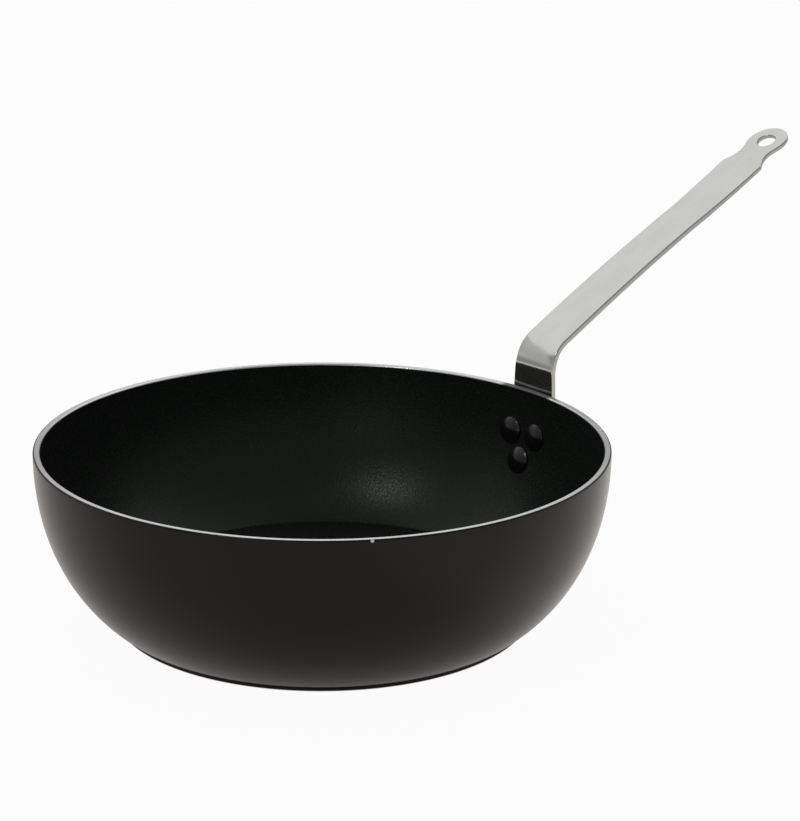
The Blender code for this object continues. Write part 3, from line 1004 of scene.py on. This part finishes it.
class StripPath:
    """The handle's inner face in side view, by the distance along the strip from the foot's tip.

    The foot follows the wall, the tab stands upright, the bend turns outwards, the arm runs out
    with a slight droop, and the pressed end turns up again to the hanging eye.
    """

    SAMPLES = 200
    BELLY_LIMIT = 0.9

    def __init__(self, bowl: BowlSection, size: StripSize, rivets: RivetSize) -> None:
        """Work out the stretches.

        Args:
            bowl: The bowl that the foot is riveted to.
            size: The strip's sizes.
            rivets: The rivets' places.
        """
        self.bowl = bowl
        self.size = size
        self.belly = solve(lambda t: bowl.direction(t).x, 0, self.BELLY_LIMIT)
        upper = solve(lambda t: bowl.wall(t).y - (bowl.height - rivets.drop), 0, 1)
        table = self.wall_table()
        self.places_down = [(depth, t) for t, depth in table]
        self.upper_depth = read_table(table, upper)
        self.lower_depth = self.upper_depth + rivets.pitch
        self.foot_length = self.lower_depth + size.foot_margin
        self.side = bowl.wall(self.belly, -size.fit_gap)
        self.rim = self.foot_length + bowl.height - self.side.y
        self.tab_end = self.rim + size.tab_height
        self.bend_turn = math.pi / 2 - size.arm_rise
        self.bend_end = self.tab_end + self.bend_turn * (size.bend_radius + size.thickness)
        self.eye = self.bend_end + size.arm_length
        self.end = self.eye + size.eye_diameter / 2
        self.upper = self.foot_length - self.upper_depth
        self.taper_end = self.upper + size.foot_taper
        self.neck = self.eye - size.neck_to_eye
        self.shoulder = self.neck - size.shoulder_taper
        self.press = self.shoulder - size.end_length
        arm = (self.press - self.bend_end, -size.arm_droop)
        self.stretches = (arm, (size.end_length, size.end_lift), (self.end, 0.0))

    def wall_table(self) -> List[Tuple[float, float]]:
        """Measure down the wall from its widest place, at the strip's inner face.

        Returns:
            Pairs of the wall's t and the distance down.
        """
        table = [(self.belly, 0.0)]
        last = self.bowl.wall(self.belly, -self.size.fit_gap)
        for i in range(1, self.SAMPLES + 1):
            t = self.belly + (1 - self.belly) * i / self.SAMPLES
            point = self.bowl.wall(t, -self.size.fit_gap)
            table.append((t, table[-1][1] + (point - last).length))
            last = point
        return table

    def wall_t(self, depth: float) -> float:
        """The wall's t at a distance down from its widest place."""
        return read_table(self.places_down, depth)

    def along(self, s: float) -> Tuple[Vector, Vector]:
        """Find a place in the strip's side view.

        Args:
            s: The distance along the strip.

        Returns:
            The point of the inner face, and the direction that this face looks in.
        """
        if s < self.foot_length:
            t = self.wall_t(self.foot_length - s)
            return self.bowl.wall(t, -self.size.fit_gap), -self.bowl.normal(t)
        if s < self.tab_end:
            return self.side + Vector((0.0, s - self.foot_length)), Vector((-1.0, 0.0))
        radius = self.size.bend_radius + self.size.thickness
        slope = math.pi / 2 - min((s - self.tab_end) / radius, self.bend_turn)
        centre = self.side + Vector((radius, self.tab_end - self.foot_length))
        point = centre + radius * Vector((-math.sin(slope), math.cos(slope)))
        run = s - self.bend_end
        for length, turn in self.stretches:
            if run <= 0:
                break
            part = min(run, length)
            point = bent(point, slope, turn * part / length, part)
            slope += turn * part / length
            run -= part
        return point, Vector((-math.sin(slope), math.cos(slope)))

    def clear_of_wall(self, s: float) -> float:
        """How far the strip has left the wall on its way up to the rim, from 0 to 1."""
        return smooth((s - self.taper_end) / (self.rim - self.taper_end))

    def curled(self, s: float, w: float) -> float:
        """Find how far the bend's edges have turned up, as they do when a strip is bent.

        Args:
            s: The distance along the strip.
            w: The distance across it from its middle line.

        Returns:
            The rise of the inner face there.
        """
        size = self.size
        share = (s - self.tab_end) / (self.bend_end - self.tab_end)
        narrowing = (size.tab_width - size.arm_width) * min(max(share, 0.0), 1.0)
        half = (size.tab_width - narrowing) / 2
        rise = smooth((share - size.curl_start) / size.curl_rise)
        fall = smooth((size.curl_end - share) / size.curl_fall)
        return rise * fall * size.edge_curl * math.exp((abs(w) - half) / size.curl_reach)

    def pressed(self, s: float, depth: float) -> float:
        """Find the depth behind the inner face's line, once the end is pressed thinner.

        Args:
            s: The distance along the strip.
            depth: The depth in the flat blank.

        Returns:
            The depth in the handle.
        """
        size, run = self.size, s - self.press
        thinned = (size.end_thickness / size.thickness - 1) * smooth(run / size.end_length)
        return size.end_step * smooth(run / size.end_ramp) + depth * (1 + thinned)

    def place(self, s: float, w: float, depth: float) -> Vector:
        """Find where a point of the flat blank goes.

        Args:
            s: The distance along the strip.
            w: The distance across it from its middle line.
            depth: The depth behind its inner face.

        Returns:
            The point in the world.
        """
        point, looks = self.along(s)
        clear = self.clear_of_wall(s)
        point = point + Vector((self.size.tab_standoff * clear, 0.0))
        depth = self.pressed(s, depth) - self.curled(s, w)
        roll = (1 - clear) / point.x
        angle = roll * w
        across = math.sin(angle) / roll if roll > 0 else w
        drawn_in = (1 - math.cos(angle)) / roll if roll > 0 else 0.0
        back = -depth * looks.x
        x = point.x - drawn_in + back * math.cos(angle)
        return Vector((x, across + back * math.sin(angle), point.y - depth * looks.y))


@dataclass(frozen=True)
class Knot:
    """A point of the blank's outline, with its guides ahead and behind."""

    place: Vector
    ahead: Vector
    behind: Vector


class Outline:
    """One half of the blank's outline, sampled with its outward directions."""

    LEAST_PARTS = 4

    def __init__(self, path: StripPath, rivets: RivetSize, step: float) -> None:
        """Sample the outline.

        Args:
            path: The strip's stretches.
            rivets: The rivets' places, which set the foot's width.
            step: The length between samples.
        """
        self.path = path
        self.foot_half = rivets.spread / 2 + path.size.foot_margin
        self.points: List[Vector] = []
        self.normals: List[Vector] = []
        self.first_of_eye = 0
        knots = self.knots()
        for number, (a, b) in enumerate(zip(knots, knots[1:])):
            if abs(a.place.x - path.neck) < WELD:
                self.first_of_eye = len(self.points)
            self.sample(a, b, step, skip_first=number > 0)

    def knots(self) -> List[Knot]:
        """Place the outline's corners and smooth points.

        Returns:
            The knots from the foot's tip to the far end, both on the middle line.
        """
        path = self.path
        size = path.size
        turn_in = Vector((math.cos(size.shoulder_angle), -math.sin(size.shoulder_angle)))
        corner = (path.shoulder, size.end_width / 2)
        places = [(path.upper, self.foot_half), (path.taper_end, size.tab_width / 2),
                  (path.bend_end, size.arm_width / 2), (path.press, size.waist_width / 2), corner,
                  (path.neck, size.neck_width / 2), (path.eye, size.eye_diameter / 2)]
        none = Vector((0.0, 0.0))
        knots = [Knot(none, Vector((0.0, CIRCLE_REACH * self.foot_half)), none)]
        last = len(places) - 1
        for i, place in enumerate(places):
            before = places[i - 1][0] if i else 0.0
            after = places[i + 1][0] if i < last else path.end
            back = (place[0] - before) * (size.taper_reach if i else CIRCLE_REACH)
            ahead = (after - place[0]) * (size.taper_reach if i < last else CIRCLE_REACH)
            leaves = size.shoulder_reach * turn_in if place is corner else Vector((ahead, 0.0))
            knots.append(Knot(Vector(place), leaves, Vector((back, 0.0))))
        down = Vector((0.0, -CIRCLE_REACH * size.eye_diameter / 2))
        return knots + [Knot(Vector((path.end, 0.0)), none, down)]

    def sample(self, a: Knot, b: Knot, step: float, skip_first: bool) -> None:
        """Add the points of the stretch between two knots.

        Args:
            a: The first knot.
            b: The second knot.
            step: The length between samples.
            skip_first: The first point is there already, and only its direction changes.
        """
        guides = (a.place, a.place + a.ahead, b.place - b.behind, b.place)
        count = max(self.LEAST_PARTS, math.ceil((b.place - a.place).length / step))
        for i in range(count + 1):
            way = curve_way(guides, i / count).normalized()
            out = Vector((-way.y, way.x))
            if i == 0 and skip_first:
                middle = self.normals[-1] + out
                self.normals[-1] = middle * (2 / middle.length_squared)
                continue
            self.points.append(curve_point(guides, i / count))
            self.normals.append(out)


@dataclass
class StripHandle:
    """The handle: one bent strip of polished steel with a hanging eye."""

    path: StripPath
    rivets: RivetSize
    step: float = 0.0012
    edge_steps: int = 4
    across_steps: int = 32
    eye_steps: int = 4
    support: float = 0.0003
    side_limit: float = 0.3
    work: bmesh.types.BMesh = field(init=False, repr=False)

    def edge_rings(self) -> List[Tuple[float, float]]:
        """Draw the rounded edge of the blank.

        Returns:
            Pairs of inset and depth, from the inner face to the outer one.
        """
        size = self.path.size
        angles = [math.pi / 2 * i / self.edge_steps for i in range(self.edge_steps + 1)]
        upper = [(size.edge * (1 - math.sin(a)), size.edge * (1 - math.cos(a))) for a in angles]
        upper = [(size.edge + self.support, 0.0)] + upper + [(0.0, size.edge + self.support)]
        return upper + [(inset, size.thickness - depth) for inset, depth in reversed(upper)]

    def build(self, finish: Finish, side: Finish) -> bpy.types.Object:
        """Build the handle.

        Args:
            finish: The finish of the strip's faces.
            side: The finish of its cut sides.

        Returns:
            The piece.
        """
        self.work = bmesh.new()
        outline = Outline(self.path, self.rivets, self.step)
        rings = self.edge_rings()
        loops = [self.outer_loop(outline, inset, depth) for inset, depth in rings]
        self.bridge(loops)
        top = self.fill(outline, loops[0], rings[0][1])
        bottom = self.fill(outline, loops[-1], rings[-1][1])
        self.bridge([top] + self.hole_loops(top, rings[1:-1]) + [bottom])
        bmesh.ops.remove_doubles(self.work, verts=self.work.verts, dist=WELD)
        mesh = bpy.data.meshes.new("strip_handle")
        self.bend_and_map(mesh)
        piece = add_object("strip_handle", mesh)
        mesh.materials.append(finish.make())
        mesh.materials.append(side.make())
        return outwards(piece)

    def vert(self, place: Vector, depth: float) -> bmesh.types.BMVert:
        """A new vertex of the flat blank."""
        return self.work.verts.new((place.x, place.y, -depth))

    def outer_loop(self, outline: Outline, inset: float, depth: float) -> List[bmesh.types.BMVert]:
        """Make one loop round the blank.

        Args:
            outline: The outline's half.
            inset: How far the loop lies inside it.
            depth: Its depth behind the inner face.

        Returns:
            The loop's vertices: up one side to the far end, and back down the other.
        """
        half = [p - inset * n for p, n in zip(outline.points, outline.normals)]
        other = [Vector((p.x, -p.y)) for p in half[-2:0:-1]]
        return [self.vert(p, depth) for p in half + other]

    def bridge(self, loops: Sequence[Sequence[bmesh.types.BMVert]]) -> None:
        """Join each closed loop to the next with four-sided faces.

        Args:
            loops: The loops, in order.
        """
        for a, b in zip(loops, loops[1:]):
            for i in range(len(a)):
                j = (i + 1) % len(a)
                self.face(a[i], a[j], b[j], b[i])

    def face(self, *corners: bmesh.types.BMVert) -> None:
        """A face from its corners, leaving out any that repeat."""
        self.work.faces.new(list(dict.fromkeys(corners)))

    def row(self, loop: Sequence[bmesh.types.BMVert], i: int,
            depth: float) -> List[bmesh.types.BMVert]:
        """Make the vertices straight across the blank at one pair of outline points.

        Args:
            loop: The face's outer loop.
            i: The place in the loop of the pair's first point.
            depth: The face's depth behind the inner face.

        Returns:
            The vertices from one edge to the other.
        """
        left, right = loop[i], loop[len(loop) - i]
        shares = [k / self.across_steps for k in range(1, self.across_steps)]
        middle = [self.vert(left.co.lerp(right.co, share).xy, depth) for share in shares]
        return [left] + middle + [right]

    def fill(self, outline: Outline, loop: Sequence[bmesh.types.BMVert],
             depth: float) -> List[bmesh.types.BMVert]:
        """Fill one face of the blank, round the hanging hole.

        Args:
            outline: The outline's half.
            loop: The face's outer loop.
            depth: Its depth behind the inner face.

        Returns:
            The face's loop round the hole.
        """
        last = outline.first_of_eye
        rows = [self.row(loop, i, depth) for i in range(1, last + 1)]
        for a, b in zip(rows[0], rows[0][1:]):
            self.face(loop[0], a, b)
        for near, far in zip(rows, rows[1:]):
            for k in range(len(near) - 1):
                self.face(near[k], near[k + 1], far[k + 1], far[k])
        edge = rows[-1] + [loop[j] for j in range(len(loop) - last - 1, last, -1)]
        centre = Vector((self.path.eye, 0.0))
        radius = self.path.size.hole_diameter / 2 + self.path.size.edge + self.support
        circle = [centre + radius * (v.co.xy - centre).normalized() for v in edge]
        loops = [edge]
        for i in range(1, self.eye_steps + 1):
            share = i / self.eye_steps
            loops.append([self.vert(v.co.xy.lerp(c, share), depth) for v, c in zip(edge, circle)])
        self.bridge(loops)
        return loops[-1]

    def hole_loops(self, loop: Sequence[bmesh.types.BMVert],
                   rings: Sequence[Tuple[float, float]]) -> List[List[bmesh.types.BMVert]]:
        """Make the loops down the hole's wall.

        Args:
            loop: The inner face's loop round the hole.
            rings: Pairs of inset and depth, one for each new loop.

        Returns:
            The new loops.
        """
        centre = Vector((self.path.eye, 0.0))
        ways = [(v.co.xy - centre).normalized() for v in loop]
        radius = self.path.size.hole_diameter / 2
        return [[self.vert(centre + (radius + inset) * way, depth) for way in ways]
                for inset, depth in rings]

    def bend_and_map(self, mesh: bpy.types.Mesh) -> None:
        """Bend the flat blank, mark its cut sides, and keep the flat places as its map.

        Args:
            mesh: The mesh that takes the result.
        """
        layer = self.work.loops.layers.uv.new(STRIP_MAP)
        for face in self.work.faces:
            face.normal_update()
            face.material_index = int(abs(face.normal.z) < self.side_limit)
            for corner in face.loops:
                corner[layer].uv = corner.vert.co.xy
        for vert in self.work.verts:
            vert.co = self.path.place(vert.co.x, vert.co.y, -vert.co.z)
        self.work.to_mesh(mesh)
        self.work.free()


@dataclass
class Rivets:
    """The three rivets: black domed heads inside the bowl and set tails outside."""

    path: StripPath
    size: RivetSize
    segments: int = 48
    dome_steps: int = 8
    edge_steps: int = 4

    def dome(self, radius: float, height: float, edge: float) -> List[Vector]:
        """Draw a low dome with a rounded edge.

        Args:
            radius: The dome's radius.
            height: Its height.
            edge: The rounding of its edge, above an upright side of the same height.

        Returns:
            Its section from its top down to its seat, at height 0.
        """
        reach = radius - edge
        rise = height - 2 * edge
        ball = (reach * reach + rise * rise) / (2 * rise)
        sweep = math.asin(reach / ball)
        angles = [sweep * i / self.dome_steps for i in range(self.dome_steps)]
        cap = [Vector((ball * math.sin(a), height - ball * (1 - math.cos(a)))) for a in angles]
        side = arc(Vector((reach, edge)), edge, math.pi / 2 - sweep, 0.0, self.edge_steps)
        return cap + side + [Vector((radius, 0.0))]

    def section(self) -> List[Vector]:
        """Draw the rivet in section, with the wall's outside at height 0.

        Returns:
            The points, along the axis from the tail's top to the head's.
        """
        bowl, size = self.path.bowl, self.size
        t = self.path.wall_t(self.path.upper_depth)
        tightest = min(bowl.curve_radius(t), bowl.rim_radius) - bowl.thickness
        hollow = (size.head / 2) ** 2 / (2 * tightest)
        inner = size.seating - bowl.thickness - hollow
        outer = self.path.size.fit_gap + self.path.size.thickness - size.seating
        tail = self.dome(size.tail / 2, size.tail_height, size.tail_edge)
        head = self.dome(size.head / 2, size.head_height, size.head_edge)
        upper = [p + Vector((0.0, outer)) for p in tail]
        lower = [Vector((p.x, inner - p.y)) for p in reversed(head)]
        shank = [Vector((size.shank / 2, height)) for height in (outer, inner)]
        return upper + shank + lower

    def places(self) -> List[Tuple[Vector, Vector]]:
        """Find where the rivets go through the wall, and which way is out.

        Returns:
            A pair of point and direction for each rivet.
        """
        path, bowl = self.path, self.path.bowl
        upper, lower, half = path.upper_depth, path.lower_depth, self.size.spread / 2
        found = []
        for depth, across in ((upper, half), (upper, -half), (lower, 0.0)):
            t = path.wall_t(depth)
            turn = Matrix.Rotation(across / bowl.wall(t, -path.size.fit_gap).x, 3, "Z")
            pair = bowl.wall(t), bowl.normal(t)
            found.append(tuple(turn @ Vector((p.x, 0.0, p.y)) for p in pair))
        return found

    def tree(self) -> GeometryTree:
        """Make the tree that turns a rivet and sets one on each point.

        Returns:
            The tree.
        """
        made = GeometryTree("riveting", {
            "Section": "Object",
            "Segments": "Int",
            "Head finish": "Material",
            "Tail finish": "Material",
            "Tail start": "Float",
        })
        graph = made.graph
        line = graph.value("GeometryNodeObjectInfo", {"Object": made.input("Section")}, "Geometry")
        surface = turned_surface(graph, line, made.input("Segments"))
        black = dressed(graph, surface, made.input("Head finish"))
        _, _, height = graph.split(graph.value("GeometryNodeInputPosition"))
        tail = height > made.input("Tail start")
        values = {"Geometry": black, "Selection": tail, "Material": made.input("Tail finish")}
        rivet = graph.value("GeometryNodeSetMaterial", values)
        values = {"Name": "out"}
        out = graph.value("GeometryNodeInputNamedAttribute", values, data_type="FLOAT_VECTOR")
        turn = graph.value("FunctionNodeAlignRotationToVector", {"Vector": out}, axis="Z")
        values = {"Points": made.input("Geometry"), "Instance": rivet, "Rotation": turn}
        placed = graph.value("GeometryNodeInstanceOnPoints", values)
        made.finish_with(graph.value("GeometryNodeRealizeInstances", {"Geometry": placed}))
        return made

    def build(self, head: Finish, tail: Finish) -> bpy.types.Object:
        """Build the three rivets as one piece.

        Args:
            head: The finish of the heads.
            tail: The finish of the tails.

        Returns:
            The piece.
        """
        places = self.places()
        mesh = bpy.data.meshes.new("rivets")
        mesh.from_pydata([point for point, _ in places], [], [])
        layer = mesh.attributes.new("out", "FLOAT_VECTOR", "POINT")
        for number, (_, out) in enumerate(places):
            layer.data[number].vector = out
        piece = add_object("rivets", mesh)
        section = section_object("rivet_section", self.section())
        self.tree().run(piece, {
            "Section": section,
            "Segments": self.segments,
            "Head finish": head.make(),
            "Tail finish": tail.make(),
            "Tail start": self.path.size.thickness / 2,
        })
        bpy.data.objects.remove(section, do_unlink=True)
        return outwards(piece)


@dataclass
class Studio:
    """A pale floor, soft light and the camera.

    The light is a sky: dim in front of the pan and bright behind it, with a screen that starts
    some way up. The floor mirrors as plain white, with a painted pool of light that makes it
    brighter in reflections on one side.
    """

    eye: Point = (-0.700832, -0.86554, 0.44685)
    aim: Point = (0.02813, -0.02438, 0.10297)
    roll: float = math.radians(0.488)
    lens: float = 108.175
    sensor: float = 36.0
    view_reach: float = 50.0
    floor_side: float = 16.0
    floor_drop: float = 0.0002
    floor_paint: Colour = (0.95, 0.91, 0.87)
    floor_glow: float = 0.96
    floor_shine: float = 0.42
    floor_shine_colour: Colour = (1.08, 1.03, 0.98)
    pool_azimuth: float = math.radians(-40.0)
    pool_range: Limits = (0.07, 0.15)
    pool_level: float = 1.50
    front_level: float = 0.30
    behind_azimuth: float = math.radians(60.0)
    behind_elevation: float = math.radians(20.0)
    behind_range: Limits = (-0.30, 0.70)
    screen_range: Limits = (0.30, 0.52)
    screen_low_level: float = 0.35
    screen_level: float = 1.0
    top_range: Limits = (0.88, 0.97)
    top_share: float = 0.30
    edge_azimuth: float = math.radians(45.7)
    edge_elevation: float = math.radians(-23.0)
    edge_range: Limits = (-0.065, -0.050)
    side_level: float = 0.70
    side_low_level: float = 0.90
    side_low_reach: float = 0.45
    fill_azimuth: float = math.radians(-151.0)
    fill_elevation: float = math.radians(-2.0)
    fill_width: float = math.radians(22.0)
    fill_level: float = 1.00
    lamp_aim: Point = (0.097, 0.067, 0.021)
    lamp_azimuth: float = math.radians(-168.8)
    lamp_elevation: float = math.radians(47.5)
    lamp_distance: float = 1.6
    lamp_diameter: float = 0.28
    lamp_power: float = 1.75

    @staticmethod
    def toward(azimuth: float, elevation: float) -> Vector:
        """A direction from its azimuth, counted from +X, and its elevation."""
        level = math.cos(elevation)
        return Vector((level * math.cos(azimuth), level * math.sin(azimuth), math.sin(elevation)))

    @staticmethod
    def aimed(place: Vector, way: Vector) -> Matrix:
        """The placement of a lamp or camera that stands at a point and looks one way."""
        return Matrix.Translation(place) @ way.to_track_quat("-Z", "Y").to_matrix().to_4x4()

    def facing(self, graph: NodeGraph, way: Signal, azimuth: float, elevation: float) -> Signal:
        """How far a way goes in a direction: from -1 to 1 for the ways of the sky."""
        return graph.vector("DOT_PRODUCT", way, self.toward(azimuth, elevation), output="Value")

    def camera(self) -> None:
        """Set up the camera at the photograph's viewpoint."""
        data = bpy.data.cameras.new("camera")
        data.lens = self.lens
        data.sensor_width = self.sensor
        data.sensor_fit = "HORIZONTAL"
        data.clip_end = self.view_reach
        item = add_object("camera", data)
        place = self.aimed(Vector(self.eye), Vector(self.aim) - Vector(self.eye))
        item.matrix_world = place @ Matrix.Rotation(self.roll, 4, "Z")
        bpy.context.scene.camera = item

    def world(self) -> None:
        """Light the scene brightly from behind the pan, and show the camera plain white."""
        world = bpy.data.worlds.new("studio")
        bpy.context.scene.world = world
        graph = NodeGraph.of(world)
        way = graph.value("ShaderNodeTexCoord", output="Generated")
        _, _, height = graph.split(way)
        past_edge = self.facing(graph, way, self.edge_azimuth, self.edge_elevation)
        behind = self.facing(graph, way, self.behind_azimuth, self.behind_elevation)
        fill = self.facing(graph, way, self.fill_azimuth, self.fill_elevation)
        side = graph.ramp(height, 0.0, self.side_low_reach, self.side_low_level, self.side_level)
        screen = graph.ramp(height, *self.screen_range, self.screen_low_level, self.screen_level)
        screen = graph.blend(graph.ramp(past_edge, *self.edge_range), side, screen)
        screen = screen * graph.ramp(height, *self.top_range, 1.0, self.top_share)
        level = graph.blend(graph.ramp(behind, *self.behind_range), self.front_level, screen)
        level = level + graph.ramp(fill, math.cos(self.fill_width), 1.0, 0.0, self.fill_level)
        lit = graph.value("ShaderNodeBackground", {"Color": WHITE, "Strength": level})
        white = graph.value("ShaderNodeBackground", {"Color": WHITE, "Strength": 1.0})
        seen = graph.value("ShaderNodeLightPath", output="Is Camera Ray")
        shown = graph.value("ShaderNodeMixShader", {0: seen, 1: lit, 2: white})
        graph.add("ShaderNodeOutputWorld", {0: shown})

    def lamp(self) -> None:
        """Hang the round lamp that makes the soft glow inside the bowl."""
        data = bpy.data.lights.new("lamp", "AREA")
        data.shape = "DISK"
        data.size = self.lamp_diameter
        data.energy = self.lamp_power
        way = self.toward(self.lamp_azimuth, self.lamp_elevation)
        place = Vector(self.lamp_aim) + self.lamp_distance * way
        add_object("lamp", data).matrix_world = self.aimed(place, -way)

    def floor(self) -> None:
        """Lay the pale floor, which glows enough to look white and still takes the shadow."""
        half = self.floor_side / 2
        corners = [(-half, -half), (half, -half), (half, half), (-half, half)]
        mesh = bpy.data.meshes.new("floor")
        mesh.from_pydata([(x, y, -self.floor_drop) for x, y in corners], [], [(0, 1, 2, 3)])
        material = bpy.data.materials.new("floor")
        graph = NodeGraph.of(material)
        path = graph.add("ShaderNodeLightPath")
        seen, shone = graph.read(path, "Is Camera Ray"), graph.read(path, "Is Glossy Ray")
        place = graph.value("ShaderNodeTexCoord", output="Object")
        # Painted pool of light: in reflections the floor's shine rises towards pool_level on the side
        # of pool_azimuth.
        pool = graph.ramp(self.facing(graph, place, self.pool_azimuth, 0.0), *self.pool_range)
        near, far = ([part * level for part in self.floor_shine_colour]
                     for level in (1.0, self.pool_level))
        paint = graph.value("ShaderNodeBsdfDiffuse", {"Color": (*self.floor_paint, 1.0)})
        shine = graph.value("ShaderNodeEmission", {"Color": graph.mix(pool, near, far)})
        white = graph.value("ShaderNodeEmission", {"Color": WHITE})
        surface = paint
        for share, other in ((shone * self.floor_shine, shine), (seen * self.floor_glow, white)):
            surface = graph.value("ShaderNodeMixShader", {0: share, 1: surface, 2: other})
        graph.add("ShaderNodeOutputMaterial", {0: surface})
        mesh.materials.append(material)
        add_object("floor", mesh)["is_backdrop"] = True

    def build(self) -> None:
        """Set up everything round the pan."""
        self.floor()
        self.world()
        self.lamp()
        self.camera()
        bpy.context.scene.view_settings.view_transform = "Standard"


COOKING_COAT = CookingCoat("nonstick", Slot.COOKING_COAT, (0.0103, 0.0122, 0.0104), 0.275,
                           specular=0.28, sheen_colour=(0.93, 1.03, 0.92))
OUTSIDE_COAT = OutsideCoat("outside_black", Slot.OUTSIDE_COAT, (0.0040, 0.0036, 0.0034), 0.20,
                           specular=0.208)
BARE_METAL = TurnedMetal("turned_aluminium", Slot.BARE_METAL, (0.80, 0.80, 0.805), 0.24,
                         metallic=1.0)
STRIP_STEEL = PolishedStrip("strip_steel", Slot.STRIP_STEEL, (0.565, 0.574, 0.545), 0.09,
                            metallic=0.945)
# The cut side's paler tab, below tab_top, is a painted reflection of the bright floor.
STRIP_SIDE = PolishedStrip("strip_side", Slot.STRIP_STEEL, (0.365, 0.380, 0.380), 0.30,
                           metallic=1.0, patch_colour=(0.37, 0.385, 0.38),
                           tab_painted_reflection_colour=(0.44, 0.45, 0.42), tab_top=0.103)
RIVET_COAT = RivetCoat("rivet_black", Slot.RIVET_COAT, (0.0065, 0.0068, 0.0068), 0.20)
# The rivet tails lie inside the painted dark reflection band beside the handle, so the band darkens
# them as well.
RIVET_METAL = TurnedMetal("rivet_metal", Slot.RIVET_COAT, (0.70, 0.70, 0.69), 0.26, metallic=1.0)


def attach(piece: bpy.types.Object, finish: Finish, *nodes: str) -> None:
    """Let a piece ride on the pan in place of its solids, and report it.

    Args:
        piece: The piece.
        finish: Not used.
        nodes: The solids that it stands for.
    """
    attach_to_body(piece, BODY)
    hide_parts(*nodes)
    low, high = (Vector(corner) for corner in (piece.bound_box[0], piece.bound_box[6]))
    size = " x ".join("%.1f" % (side * MILLIMETRES) for side in high - low)
    log.info("%s: %d faces, %s mm", piece.name, len(piece.data.polygons), size)


def corners(box: Sequence[Vector]) -> List[List[float]]:
    """A box's two corners as plain numbers."""
    return [list(corner) for corner in box]


def main() -> None:
    """Build the pan's pieces in order, and the studio round them."""
    logging.basicConfig(level=logging.INFO, format="%(message)s")
    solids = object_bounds()
    section = BowlSection(rim_radius=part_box("outer_coating")[1].y, height=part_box("pan_body")[1].z)
    bowl = Bowl(section, Lathe())
    attach(bowl.metal(BARE_METAL), BARE_METAL, "pan_body")
    attach(bowl.cooking_surface(COOKING_COAT), COOKING_COAT, "nonstick_coating")
    attach(bowl.outside_surface(OUTSIDE_COAT), OUTSIDE_COAT, "outer_coating")
    rivet_size = RivetSize()
    path = StripPath(section, StripSize(), rivet_size)
    attach(StripHandle(path, rivet_size).build(STRIP_STEEL, STRIP_SIDE), STRIP_STEEL, "handle")
    rivets = Rivets(path, rivet_size).build(RIVET_COAT, RIVET_METAL)
    attach(rivets, RIVET_COAT, "rivet_upper_left", "rivet_upper_right", "rivet_lower")
    Studio().build()
    {"cad": corners(solids), "visual": corners(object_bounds())}


if __name__ == "__main__":
    main()
